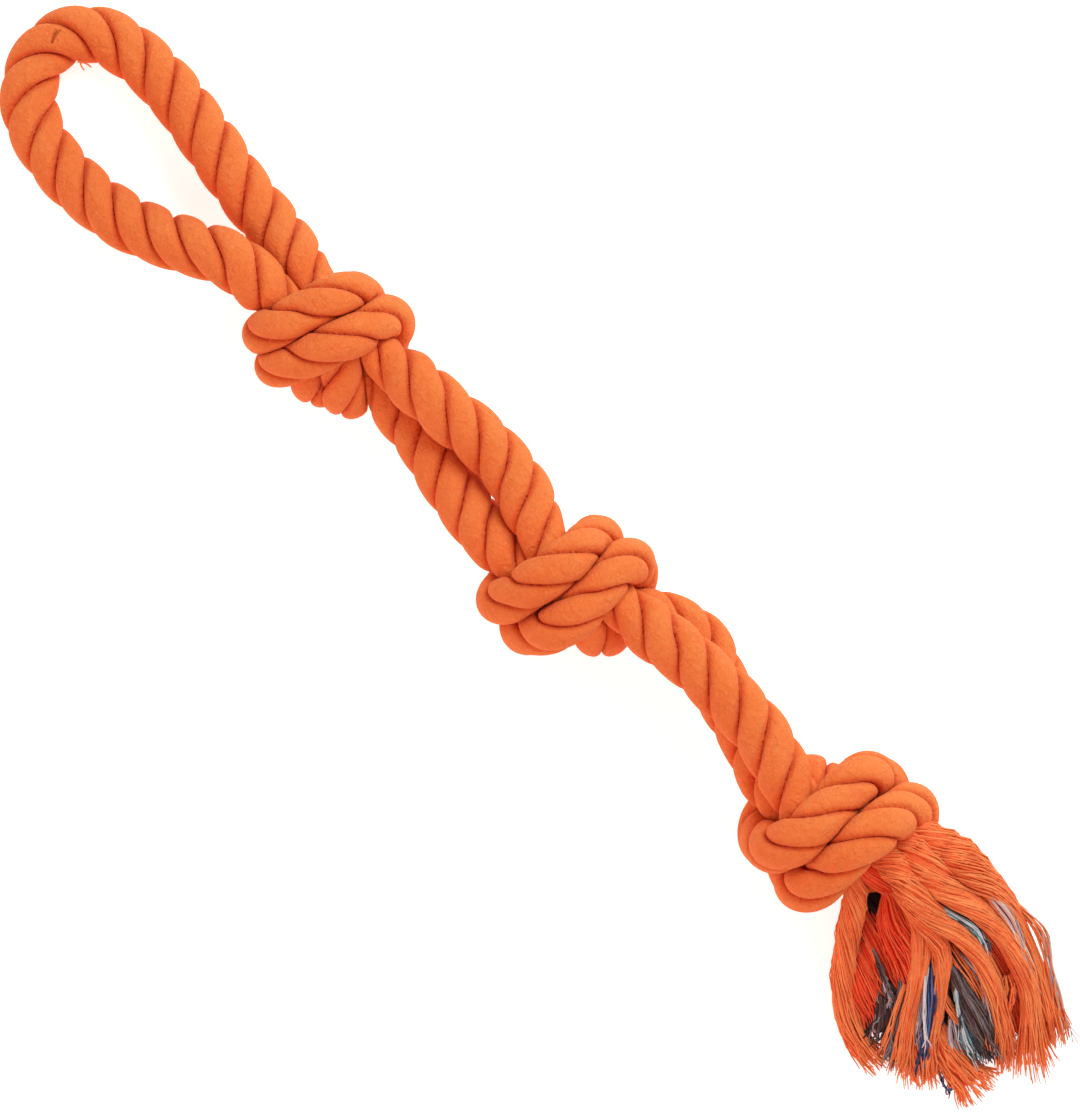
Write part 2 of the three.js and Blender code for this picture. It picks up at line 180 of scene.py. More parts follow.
# Sizes and the rope's route
ROPE = 0.020  # diameter of the free rope
ROPE_PIXELS = 58  # the same in the photograph
PIXEL = ROPE / ROPE_PIXELS
MIDDLE = 766  # the toy's middle along it, in the photograph's pixels
SHIFT = np.array([0.000025, 0.004049, 0.0])  # puts the origin under the outline's middle
LAY = 2.15 * ROPE  # the rope goes once round in this length
SOLID = 0.95  # the solids' rope, as a share of the real one
STEP = 0.2 * ROPE  # between points of the line that is drawn tight
FIRST_STEP = 0.3 * STEP  # while it is rounded off before that
ROUNDINGS = 6

# Half of a knot's middle line, in drawn rope diameters: along, out from the axis, and turns
# round it.
HALF_KNOT = np.array([
    (-2.3, 0.5, 0.28), (-1.7, 0.56, 0.3), (-1, 0.6, 0.34), (-0.35, 0.55, 0.42),
    (0.25, 0.58, 0.52), (0.7, 0.72, 0.615), (1.05, 1.1, 0.705), (1.02, 1.45, 0.8),
    (0.47, 1.55, 0.9), (0, 1.58, 1), (0, 1.58, 1.125), (0, 1.58, 1.25)])
SLANT = np.array([0, 0, 0, 0, 0, 0, 0, 0.03, 0.33, 0.52, 0.26, 0])  # each row's share of it
KNOT_STEPS = 120  # of a knot's whole middle line
HALF_PAIR = 0.56  # from that line to each leg
EASE_ROWS = 3.5  # rows over which a leg eases into the knot
TIPPED = 1.5  # distance from the axis at which a turn tips in full
# Of each knot: its middle, the drawn rope's thickness, roll, stretch along X and Y, how far the
# front turns slant and tip, how much the right one is larger, how much they spread upwards, and
# whether the legs are swapped.
KNOTS = [
    dict(at=(474, -4), rope=0.55, roll=-0.15, stretch=(1.04, 0.85), slant=0.6, tip=0.02,
         flare=-0.28, spread=-0.12, swapped=False),
    dict(at=(821, -11), rope=0.61, roll=-0.05, stretch=(0.97, 0.92), slant=-0.55, tip=0.15,
         flare=0.38, spread=-0.04, swapped=True),
    dict(at=(1178, 15), rope=0.69, roll=0.0, stretch=(0.82, 0.99), slant=-0.75, tip=0.2,
         flare=0.06, spread=0.1, swapped=False)]
# The rest of the rope's middle line, in pixels along, across and up: the loop, the two legs of
# each stretch and the two ends
LOOP = [
    (376, 2, 24), (345, -17, 22), (313, -35, 14), (283, -51, 4), (250, -65, 0), (213, -73, 0),
    (173, -76, 0), (135, -74, 0), (104, -66, 0), (79, -50, 0), (62, -26, 0), (56, 1, 0),
    (61, 26, 0), (78, 46, 0), (104, 57, 0), (135, 61, 0), (173, 61, 0), (213, 56, 0),
    (250, 50, 0), (283, 44, -3), (313, 39, -10), (345, 36, -18), (376, 36, -22)]
STRETCHES = [
    ([(556, 20, 26), (578, 24, 25), (600, 28, 24), (640, 35, 16), (680, 36, 10), (712, 30, 8)],
     [(556, 2, -27), (578, 2, -26), (600, -2, -24), (640, -14, -16), (680, -22, -10),
      (712, -25, -8)]),
    ([(905, 52, -22), (933, 56, -25), (965, 49, -28), (993, 34, -29), (1033, 19, -29),
      (1066, 16, -27)],
     [(905, 30, 24), (933, 29, 26), (965, 30, 28), (993, 31, 29), (1033, 32, 29),
      (1066, 26, 27)])]
ENDS = [[(1244, -8, 2), (1266, -12, 2), (1300, -20, 2)],
        [(1244, 44, 6), (1266, 48, 6), (1300, 56, 6)]]
KNOT_X = [(k["at"][0] - MIDDLE) * PIXEL for k in KNOTS]

# Where each knot's pieces start, and where they end on each leg, in pixels along
KNOT_STARTS = [396, 737, 1096]
KNOT_ENDS = [(556, 556), (901, 901), (1216, 1226)]
TUCKED_IN = (6, 0)  # rows that each leg's last piece ends before that

# How a knot grips the rope: within what reach of its middle, in rope diameters, over what ease,
# and what share of the loss that the knot's own value gives. First the line that is drawn tight,
# then the rope that is seen.
DRAWN_GRIP = dict(reach=1.85, ease=0.6, share=1.0)
SEEN_GRIP = dict(reach=1.45, ease=0.5, share=0.42)

# Drawing the knots tight
ROUNDS, LAST_ROUNDS = 24, 3  # the last ones hardly straighten the line
MOVES = 20  # in each round
PULL, LAST_PULL = 0.15, 0.025  # share of the way to the middle of a point's neighbours
PUSH = 0.22  # share of an overlap that one move takes away
TURN_GAP = 0.0006  # left between turns
NEAR_TURN = 1.4 * ROPE  # only points nearer than this are parted
OWN_POINTS = 8  # nearer than this along the line, two points are one turn's
MOVE_REACH, MOVE_EASE = 2.0, 0.7  # in rope diameters from a knot's middle

# Laying the rope on the floor
UNDER_KNOT = 1.3 * ROPE  # half the length that is looked at for a knot's lowest point
KNOT_FLAT = 0.2  # of the radius there, which the floor presses flat
LOOP_HEIGHT = 0.4  # of the rope's middle at the loop, in diameters
LOOP_RAMP = (400, 290)  # where the rope starts down to the loop, and over how far


def curve_through(rows, count):
    """A natural cubic through the rows, read at count + 1 even steps of the row number."""
    rows = np.asarray(rows, float)
    last = len(rows) - 1
    system = np.eye(last + 1)
    right = np.zeros_like(rows)
    for i in range(1, last):
        system[i, i - 1:i + 2] = 1, 4, 1
        right[i] = 3 * (rows[i + 1] - 2 * rows[i] + rows[i - 1])
    bend = np.linalg.solve(system, right)
    s = np.linspace(0, last, count + 1)
    i = np.minimum(last - 1, s.astype(int))
    f = (s - i)[:, None]
    step = rows[i + 1] - rows[i] - (bend[i + 1] + 2 * bend[i]) / 3
    return rows[i] + f * (step + f * (bend[i] + f * (bend[i + 1] - bend[i]) / 3))


def lengths(line):
    """Distance along the line at each of its points."""
    return np.r_[0, np.cumsum(np.linalg.norm(np.diff(line, axis=0), axis=1))]


def evenly(line, step):
    """The same line with its points an even step apart."""
    s = lengths(line)
    q = np.linspace(0, s[-1], int(s[-1] / step + 0.5) + 1)
    return np.stack([np.interp(q, s, line[:, c]) for c in range(line.shape[1])], 1)


def place(points):
    """Pixels along, across and up, to metres on the toy's own axes."""
    p = np.asarray(points, float)
    return np.stack([p[:, 0] - MIDDLE, p[:, 1], p[:, 2]], 1) * PIXEL


def smooth(v):
    """Rises from 0 to 1 with flat ends, as 3 v squared - 2 v cubed."""
    v = np.clip(v, 0, 1)
    return v * v * (3 - 2 * v)


def rise(t, start, width):
    """Rises smoothly from 0 at the start to 1 at the start plus the width."""
    return smooth((t - start) / width)


def knot_legs(knot, leads):
    """The two legs of a knot: the band's middle line in polar form round the knot's axis, and
    half a pair's spacing to each side of it, square to the line and to the outward direction.
    Their ends are eased over to where the rope leads in and out."""
    thick = ROPE * knot["rope"]
    half = HALF_KNOT.copy()
    half[:, 0] += knot["slant"] * SLANT
    rest = half[:-1][::-1] * (-1, 1, -1) + (0, 0, 2 * HALF_KNOT[-1, 2])
    rows = np.r_[half, rest]
    x, r, turns = curve_through(rows, KNOT_STEPS).T
    a = 2 * np.pi * (turns + knot["roll"])
    middle = np.stack([x, r * np.cos(a), r * np.sin(a)], 1)
    out = np.stack([0 * a, np.cos(a), np.sin(a)], 1)
    way = np.r_[middle[1:], middle[-1:]] - np.r_[middle[:1], middle[:-1]]
    side = np.cross(way, out)
    side /= np.linalg.norm(side, axis=1)[:, None]
    x0, y0 = place([(*knot["at"], 0)])[0, :2]
    ease = smooth(1 - np.linspace(0, len(rows) - 1, KNOT_STEPS + 1) / EASE_ROWS)[:, None]
    legs = []
    for sign in (1, -1):
        p = middle + sign * HALF_PAIR * (1 + knot["spread"] * middle[:, 1:2]) * side
        legs.append(np.stack([
            x0 + thick * p[:, 0] * knot["stretch"][0],
            y0 + thick * (p[:, 1] * knot["stretch"][1] * (1 + knot["flare"] * p[:, 0])
                          + knot["tip"] * p[:, 0] * np.minimum(1, r / TIPPED)),
            thick * p[:, 2]], 1))
    if knot["swapped"]:
        legs.reverse()
    for leg, (lead_in, lead_out) in zip(legs, leads):
        for lead, end, weight in ((lead_in, 0, ease), (lead_out, -1, ease[::-1])):
            leg[:, 1:] += weight * (place([lead])[0, 1:] - leg[end, 1:])
    return legs


def thickness(x, reach, ease, share):
    """The rope's diameter by its place along the toy: ROPE, less in each knot by a share of what
    the knot's own value takes off it, with smooth ends."""
    left = np.ones_like(x)
    for knot, x0 in zip(KNOTS, KNOT_X):
        left = left - share * (1 - knot["rope"]) * smooth((reach - np.abs(x - x0) / ROPE) / ease)
    return ROPE * left


def swelling(x):
    """The rope's radius where nothing presses on it."""
    return thickness(x, **SEEN_GRIP) / 2


def draw_tight(line):
    """Rounds of parting the turns that press into each other and of drawing each point to the
    middle of its neighbours, only near the knots."""
    for part in range(ROUNDS):
        pull = PULL if part < ROUNDS - LAST_ROUNDS else LAST_PULL
        gaps = np.linalg.norm(line[:, None] - line[None], axis=2)
        i, j = np.nonzero(np.triu(gaps < NEAR_TURN, OWN_POINTS))
        for _ in range(MOVES):
            wide = thickness(line[:, 0], **DRAWN_GRIP)
            apart = line[i] - line[j]
            d = np.linalg.norm(apart, axis=1)
            need = (wide[i] + wide[j]) / 2 + TURN_GAP
            push = (PUSH * np.maximum(0, need - d) / d)[:, None] * apart
            move = np.zeros_like(line)
            np.add.at(move, i, push)
            np.add.at(move, j, -push)
            from_knot = [np.abs(line[:, 0] - x) / ROPE for x in KNOT_X]
            reach = np.clip((MOVE_REACH - np.min(from_knot, axis=0)) / MOVE_EASE, 0, 1)[:, None]
            move[1:-1] += pull * ((line[:-2] + line[2:]) / 2 - line[1:-1])
            move[[0, -1]] = 0
            line = line + reach * move
        line = evenly(line, STEP)
    return line


def laid_down(line):
    """The line lifted until each knot rests on the floor, pressed flat a little, and lowered
    along the loop until that lies on the floor too. Between knots the lift changes smoothly."""
    lifts = []
    for x0 in KNOT_X:
        near = line[np.abs(line[:, 0] - x0) < UNDER_KNOT]
        low = np.min(near[:, 2] - SOLID * swelling(near[:, 0]))
        lifts.append(-low - KNOT_FLAT * SOLID * swelling(np.array([x0]))[0])
    x = line[:, 0]
    lift = lifts[0] + (lifts[1] - lifts[0]) * rise(x, KNOT_X[0], KNOT_X[1] - KNOT_X[0])
    lift += (lifts[2] - lifts[1]) * rise(x, KNOT_X[1], KNOT_X[2] - KNOT_X[1])
    down = SOLID * ROPE * LOOP_HEIGHT - lifts[0]
    lift += down * smooth((LOOP_RAMP[0] - MIDDLE - x / PIXEL) / LOOP_RAMP[1])
    line[:, 2] += lift
    return line


def rope_route():
    """One rope, from the end of the first leg round the handle loop to the end of the second,
    drawn tight and laid down."""
    before = [(LOOP[0], LOOP[-1])] + [(p[0][-1], p[1][-1]) for p in STRETCHES]
    after = [(p[0][0], p[1][0]) for p in STRETCHES] + [(ENDS[0][0], ENDS[1][0])]
    tied = [knot_legs(k, list(zip(b, a))) for k, b, a in zip(KNOTS, before, after)]
    legs = []
    for leg in (0, 1):
        first, second = (place(pair[leg]) for pair in STRETCHES)
        legs.append(np.concatenate([tied[0][leg], first, tied[1][leg], second, tied[2][leg],
                                    place(ENDS[leg])]))
    line = evenly(np.concatenate([legs[0][::-1], place(LOOP), legs[1]]), FIRST_STEP)
    for _ in range(ROUNDINGS):
        line[1:-1] = line[1:-1] / 2 + (line[:-2] + line[2:]) / 4
    return laid_down(draw_tight(evenly(line, STEP))) + SHIFT


# Camera
ANGLE = np.radians(45.5)  # the toy's turn in the photograph
PICTURE_MIDDLE = (775.1, -4.5)  # along and across the toy, in pixels
PICTURE_WIDTH = 1080
LOOK_HEIGHT = 0.030
DISTANCE = 2.2
SENSOR = 36
LOOK = place([(*PICTURE_MIDDLE, 0)])[0] + (0, 0, LOOK_HEIGHT) + SHIFT
camera = bpy.data.objects.new("camera", bpy.data.cameras.new("camera"))
bpy.context.scene.collection.objects.link(camera)
camera.location = LOOK + (0, 0, DISTANCE)
camera.rotation_euler = (0, 0, ANGLE)
camera.data.sensor_fit = "HORIZONTAL"
camera.data.sensor_width = SENSOR
camera.data.lens = SENSOR * DISTANCE / (PICTURE_WIDTH * PIXEL)
camera.data.clip_start, camera.data.clip_end = 0.05, 20
bpy.context.scene.camera = camera


# Mesh making
def make_mesh(name, points, quads, triangles=(), **attributes):
    """A smooth-shaded mesh object from whole arrays: points, faces of four and of three corners,
    and values by point."""
    quads, triangles = np.asarray(quads, np.int32), np.asarray(triangles, np.int32).reshape(-1, 3)
    mesh = bpy.data.meshes.new(name)
    mesh.vertices.add(len(points))
    mesh.vertices.foreach_set("co", np.asarray(points, np.float32).ravel())
    corners = np.r_[quads.ravel(), triangles.ravel()]
    sizes = np.r_[np.full(len(quads), 4), np.full(len(triangles), 3)].astype(np.int32)
    mesh.loops.add(len(corners))
    mesh.loops.foreach_set("vertex_index", corners)
    mesh.polygons.add(len(sizes))
    mesh.polygons.foreach_set("loop_start", np.r_[0, np.cumsum(sizes)[:-1]].astype(np.int32))
    mesh.polygons.foreach_set("use_smooth", np.full(len(sizes), True))
    mesh.update(calc_edges=True)
    for key, values in attributes.items():
        values = np.asarray(values, np.float32)
        kind = "FLOAT" if values.ndim == 1 else "FLOAT_VECTOR"
        layer = mesh.attributes.new(key, kind, "POINT")
        layer.data.foreach_set("value" if values.ndim == 1 else "vector", values.ravel())
    piece = bpy.data.objects.new(name, mesh)
    bpy.context.scene.collection.objects.link(piece)
    return piece


def tube_faces(rows, sides):
    """Faces of a tube on a grid of rows times sides, and fans over its two ends."""
    i, k = np.meshgrid(np.arange(rows - 1), np.arange(sides), indexing="ij")
    a, b = i * sides + k, i * sides + (k + 1) % sides
    quads = np.stack([a, b, b + sides, a + sides], -1).reshape(-1, 4)
    k = np.arange(1, sides - 1)
    top = (rows - 1) * sides
    fans = np.r_[np.stack([0 * k, k + 1, k], 1), np.stack([top + 0 * k, top + k, top + k + 1], 1)]
    return quads, fans


def carried_frames(line):
    """Two directions square to the line and to each other, carried along it without twisting."""
    way = np.gradient(line, axis=0)
    way /= np.linalg.norm(way, axis=1)[:, None]
    side = np.empty_like(line)
    s = np.cross(way[0], (0, 0, 1.0))
    for i, w in enumerate(way):
        s = s - w * (s @ w)
        s /= np.linalg.norm(s)
        side[i] = s
    return side, np.cross(way, side)


# The rope's surface
FINE = 0.0011  # between rows of its mesh
CURVE_STEPS = 6  # points of its curve to one point of the drawn line
STRANDS = 3
ACROSS = 16  # mesh points across a strand
EVEN_SHARE = 0.65  # of their spacing; the rest draws them to the strand's edges
CREST = 1.02  # a strand's crest, in rope radii
CREST_FALL, CREST_POWER = 0.11, 2  # how the strand falls off beside it
GROOVE_FALL, GROOVE_POWER = 0.24, 7  # and how it falls into the groove
CREASE_POWER = 6  # of the value that paints shade into the groove
SWELL, SWELL_LENGTH, SWELL_SEED = 0.02, 0.03, 20  # slow changes of a strand's height
DRIFT, DRIFT_LENGTH, DRIFT_SEED = 0.10, 0.12, 3  # slow changes of the lay's angle
WAVES = 5  # sines in a slow change
WAVE_RATES = (0.5, 1.6)  # of each sine, in waves to the change's length
WAVE_PEAK = 1.4  # of their sum, over the root of their number
OTHER_TURN = 1.6 * ROPE  # along the rope, from where on it counts as another turn
FAR_TURN = 2 * ROPE  # turns further away don't press
NEAREST = 40  # points of other turns that are looked at
TURN_STEP = 3  # rows between these points
HALF_GAP = 0.00015  # half of what is left between turns that press
FLOOR_GAP = 0.0002  # between the rope and the floor
PRESS_SOFTNESS = 0.0005  # of the shoulder beside a pressed flat
FAR = 1.0  # a distance beyond everything
TINY = 1e-6

coarse = rope_route()
line = evenly(curve_through(coarse, CURVE_STEPS * len(coarse)), FINE)
along = lengths(line)


def wander(s, scale, seed):
    """A slow random wave along the rope, between about -1 and 1: the sum of sines whose lengths
    are near scale."""
    random = np.random.default_rng(seed)
    rates = random.uniform(*WAVE_RATES, WAVES) / scale
    waves = np.sin(2 * np.pi * (np.outer(s, rates) + random.uniform(0, 1, WAVES)))
    return waves.sum(1) / WAVES ** 0.5 / WAVE_PEAK


def rope_surface():
    """Three lobes that wind right-handed along the line. Within a lobe the radius falls from its
    crest by CREST_FALL times the square of the place across it and GROOVE_FALL times the seventh
    power, so that the strands are broad and meet in a narrow groove. With the surface's points go
    their places in a straightened rope and how near they are to a groove."""
    t = np.linspace(-1, 1, ACROSS + 1)[:-1]
    local = np.sin(np.pi / 2 * t) * (1 - EVEN_SHARE) + t * EVEN_SHARE
    lobe = np.tile(local, STRANDS)
    strand = np.repeat(np.arange(STRANDS), ACROSS)
    lay = 2 * np.pi * along / LAY + DRIFT * wander(along, DRIFT_LENGTH, DRIFT_SEED)
    angle = lay[:, None] + 2 * np.pi / STRANDS * (strand + (lobe + 1) / 2)[None]
    swells = [wander(along, SWELL_LENGTH, SWELL_SEED + k) for k in range(STRANDS)]
    swell = np.stack(swells, 1)[:, strand]
    depth = (CREST_FALL * np.abs(lobe) ** CREST_POWER
             + GROOVE_FALL * np.abs(lobe) ** GROOVE_POWER)
    r = swelling(line[:, 0] - SHIFT[0])[:, None] * (CREST + SWELL * swell - depth[None])
    side, up = carried_frames(line)
    points = (line[:, None] + side[:, None] * (r * np.cos(angle))[..., None]
              + up[:, None] * (r * np.sin(angle))[..., None])
    straight = np.stack([r * np.cos(angle), r * np.sin(angle),
                         np.repeat(along[:, None], len(lobe), 1)], -1)
    crease = np.repeat(np.abs(lobe)[None] ** CREASE_POWER, len(line), 0)
    return points, straight, crease


def soft_limit(distance, limit):
    """Keeps a distance under its limit, with a soft shoulder: takes off the softness times
    log(1 + exp(excess / softness))."""
    return distance - PRESS_SOFTNESS * np.logaddexp(0, (distance - limit) / PRESS_SOFTNESS)


def room(directions):
    """How far the surface can go from the middle line in each direction before it is as near to
    another turn of the rope as to its own: to the plane half way to each near point of that turn,
    at the distance squared over twice the part of it that lies in the direction."""
    probe = np.arange(0, len(line), TURN_STEP)
    gaps = np.linalg.norm(line[:, None] - line[None, probe], axis=2)
    gaps[np.abs(along[:, None] - along[None, probe]) < OTHER_TURN] = FAR
    near = np.argsort(gaps, axis=1)[:, :NEAREST]
    free = np.full(directions.shape[:2], FAR)
    for k in range(NEAREST):
        to = line[probe[near[:, k]]] - line
        reach = np.einsum("ic,ijc->ij", to, directions)
        limit = (to ** 2).sum(1)[:, None] / (2 * np.maximum(reach, TINY))
        limit[np.take_along_axis(gaps, near[:, k:k + 1], 1)[:, 0] > FAR_TURN] = FAR
        free = np.minimum(free, limit)
    return free - HALF_GAP


def press(points):
    """Where two turns meet, each is pressed flat against the other, and where the rope meets
    the floor it is pressed flat on that."""
    out = points - line[:, None]
    far = np.linalg.norm(out, axis=2, keepdims=True)
    out = out / far
    points = line[:, None] + out * soft_limit(far, room(out)[..., None])
    points[..., 2] = -soft_limit(-points[..., 2], -FLOOR_GAP)
    return points


surface, straight, crease = rope_surface()
surface = press(surface)
bight = int(np.argmin(line[:, 0]))

# Pieces of the rope
STAYS = 30  # rows for which a leg stays past a place that it passes
SHRINK = np.array([0, 0.00003, 0.0001, 0.0002, 0.0004])  # row by row past a piece's end
BODIES = ["loop_knot", "middle_knot", "tassel_knot"]
NECK_BEND = (300, 388)  # where the loop starts and stops to bend
TASSEL_BEND = (1240, 1290)  # the same of the tassel's root
BEND_INSET = 6  # from a knot to where the stretch beside it bends
AXIS_HEIGHT = 0.02
PATH_STEP = 4  # rows between the points of the cord's path


def passing(leg, at):
    """The row where a leg passes a place along the toy, between two knots. Leg 0 runs from the
    bight to the first end, which is backwards along the rope."""
    x = (at - MIDDLE) * PIXEL + SHIFT[0]
    order = np.arange(bight, -1, -1) if leg == 0 else np.arange(bight, len(line))
    past = line[order, 0] >= x
    for i in np.nonzero(past)[0]:
        if past[i:i + STAYS].all():
            return int(order[i])


def rope_piece(name, first, last):
    """The rope's surface between two rows. Past each end it runs on for a little, inside the
    next piece, so that the shading goes on across the joint."""
    first, last = sorted((first, last))
    extra = len(SHRINK) - 1
    rows = np.arange(max(0, first - extra), min(len(line), last + extra + 1))
    past = np.maximum(first - rows, rows - last).clip(0, extra)
    centre = surface[rows].mean(1, keepdims=True)
    inward = centre - surface[rows]
    inward /= np.linalg.norm(inward, axis=2, keepdims=True)
    points = surface[rows] + inward * SHRINK[past][:, None, None]
    quads, fans = tube_faces(len(rows), surface.shape[1])
    return make_mesh(name, points.reshape(-1, 3), quads, fans,
                     straight=straight[rows].reshape(-1, 3), crease=crease[rows].ravel())


def on_axis(at):
    """The point of the toy's axis at a place along the photograph."""
    return ((at - MIDDLE) * PIXEL + SHIFT[0], SHIFT[1], AXIS_HEIGHT)


pieces = {}
neck = [passing(leg, KNOT_STARTS[0]) for leg in (0, 1)]
pieces["handle_rope"] = rope_piece("handle_rope", *neck)
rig.replaces(pieces["handle_rope"], "handle_loop", "neck_leg_a", "neck_leg_b")
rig.blend(pieces["handle_rope"], "handle", "loop_knot", *map(on_axis, NECK_BEND))
route = line[neck[0]:neck[1] + 1]
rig.cord(pieces["handle_rope"], exit=route[0], length=float(lengths(route)[-1]), diameter=ROPE,
        far_end="object", stiffness="stiff", lay="loose",
        path=route[::PATH_STEP].tolist() + [route[-1].tolist()])
for leg, mark in enumerate("ab"):
    for i, (start, ends) in enumerate(zip(KNOT_STARTS, KNOT_ENDS)):
        name = f"knot_{i + 1}_rope_{mark}"
        end = ends[leg]
        is_last = i == len(KNOTS) - 1
        last = passing(leg, end) + (TUCKED_IN[leg] if is_last else 0)
        pieces[name] = rope_piece(name, passing(leg, start), last)
        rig.replaces(pieces[name], f"knot_{i + 1}_leg_{mark}")
        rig.ride(pieces[name], BODIES[i])
        if not is_last:
            name = f"stretch_{i + 1}_rope_{mark}"
            stop = KNOT_STARTS[i + 1]
            pieces[name] = rope_piece(name, passing(leg, end), passing(leg, stop))
            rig.replaces(pieces[name], f"stretch_{i + 1}_leg_{mark}")
            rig.blend(pieces[name], BODIES[i], BODIES[i + 1], on_axis(end + BEND_INSET),
                     on_axis(stop - BEND_INSET))


# The tassel. A ramp gives where along a yarn a change starts and over what length it comes, as
# shares of the bundle's length. A range holds the limits of a random factor.
YARN = 0.00029  # radius of a yarn
YARN_RANGE = (0.8, 1.2)
DYE_RANGE = (0.9, 1.06)
RINGS, SIDES = 16, 4  # of each yarn's mesh
TIP_LOSS, TIP_RAMP = 0.4, (0.9, 0.1)  # yarns are thinner at their cut ends
OFF_AXIS = (0.1, 0.2, 1.0)  # a direction that no yarn takes
FLOOR_SOFTNESS = 0.001  # of the shoulder where yarns come down to the floor
BUNDLE_STEPS, BUNDLE_SPACING = 80, 4e-5  # for reading a bundle's rows
LINE_POINTS = 121  # of a bundle's middle line
CUT_SHORT, CUT_POWER = 0.12, 1.4  # the most that a yarn is shorter than its bundle
NEXT_TURN, TURN_NOISE = 0.618, 0.06  # turns from one yarn to the next
PLIES, PLY_RISE, PLY_RAMP = 4, 0.09, (0, 0.5)  # lobes round a bundle
TWIST_RANGE, TWIST_POWER = (0.8, 1.2), 3
INNER, OUTER = 0.92, 1.04  # where yarns lie, as shares of the bundle's radius
BREATH, BREATH_RATE = 0.03, 9  # how that share changes along a yarn
SPLAY, SPLAY_RANGE = 0.5, (-0.3, 1)  # how the cut ends open
SPLAY_RAMP, SPLAY_POWER = (0.72, 0.28), 1.5
WAVE = 0.00022  # how far yarns wave aside
WAVE_AT_ROOT, WAVE_ALONG = 0.4, 1.2
CALM, WILD, WILD_POWER = 0.6, 3.5, 6  # few yarns wave much more than the rest
WAVE_PAIRS = ((14, 31), (13, 29))  # rates of the long and the short waves
SHORT_WAVE = 0.5  # height of the short ones beside the long ones
KICK, KICK_RAMP = 0.0016, (0.86, 0.14)  # how far the last of a yarn bends aside
FILL_RINGS, FILL_SIDES = 28, 14  # of the body inside a bundle
FILL_SHARE, FILL_LEAST = 0.90, 0.00005  # its radius in the bundle's, and the least
FILL_END, FILL_RAMP = 0.88, 0.25  # where it ends, and from how far before that it shrinks
FILL_SHADE = (0.88, 0.56, 0.50)  # of the mean dye, darker and redder: painted shade between the outer yarns
FILLED_FROM = 30  # bundles of more yarns than this have a filling
SEEDS_APART = 100  # from one piece's first seed to the next piece's


def bundle_line(rows, count):
    """A bundle's middle line and radius, at even steps of its length."""
    fine = curve_through(rows, BUNDLE_STEPS)
    metres = np.c_[place(fine[:, :3]) + SHIFT, fine[:, 3:] * PIXEL]
    even = evenly(metres, BUNDLE_SPACING)
    pick = np.linspace(0, len(even) - 1, count).astype(int)
    return even[pick, :3], even[pick, 3]


def over_floor(points):
    """Moves points up that would sink into the floor, with a soft shoulder: the height above a
    yarn's radius becomes the softness times log(1 + exp(height / softness))."""
    height = points[..., 2] - YARN
    points[..., 2] = YARN + FLOOR_SOFTNESS * np.logaddexp(0, height / FLOOR_SOFTNESS)
    return points


def yarn_paths(rows, count, seed, twist):
    """The yarns of a bundle. Each starts at its own angle round the bundle's middle line and its
    own share of the radius, which rises and falls four times round the bundle, so that it shows
    its plies. The angle turns with 1 - (1 - t) cubed, so most near the root, and past seven
    tenths of the length the radius opens, so that the cut ends stand apart."""
    random = np.random.default_rng(seed)
    middle, radius = bundle_line(rows, LINE_POINTS)
    side, up = carried_frames(middle)
    end = 1 - CUT_SHORT * random.uniform(0, 1, count) ** CUT_POWER
    t = np.linspace(0, 1, RINGS)[None] * end[:, None]
    at = t * (LINE_POINTS - 1)
    i = np.minimum(LINE_POINTS - 2, at.astype(int))
    f = (at - i)[..., None]

    def read(values):
        """Values of the middle line's points, read between them at t."""
        return values[i] * (1 - f) + values[i + 1] * f

    def chance(low=0.0, high=1.0):
        """A random number for each yarn."""
        return random.uniform(low, high, (count, 1))

    def wavy(rate):
        """A sine along each yarn, from its own phase."""
        return np.sin(rate * t + 2 * np.pi * chance())

    turns = np.arange(count) * NEXT_TURN + random.uniform(-TURN_NOISE, TURN_NOISE, count)
    angle = 2 * np.pi * turns[:, None]
    ply = PLY_RISE * np.cos(PLIES * angle + 2 * np.pi * random.uniform()) * rise(t, *PLY_RAMP)
    angle = angle + 2 * np.pi * twist * chance(*TWIST_RANGE) * (1 - (1 - t) ** TWIST_POWER)
    share = INNER + (OUTER - INNER) * chance() + BREATH * wavy(BREATH_RATE) + ply
    opening = 1 + SPLAY * chance(*SPLAY_RANGE) * rise(t, *SPLAY_RAMP) ** SPLAY_POWER
    out = share * opening * read(radius[:, None])[..., 0]
    drift = WAVE * (WAVE_AT_ROOT + WAVE_ALONG * t) * (CALM + WILD * chance() ** WILD_POWER)
    kick = KICK * rise(t / end[:, None], *KICK_RAMP)
    path = read(middle)
    for way, turned, rates in zip((side, up), (np.cos(angle), np.sin(angle)), WAVE_PAIRS):
        waves = wavy(rates[0]) + SHORT_WAVE * wavy(rates[1])
        aside = out * turned + drift * waves + kick * chance(-1)
        path = path + aside[..., None] * read(way)
    return over_floor(path)


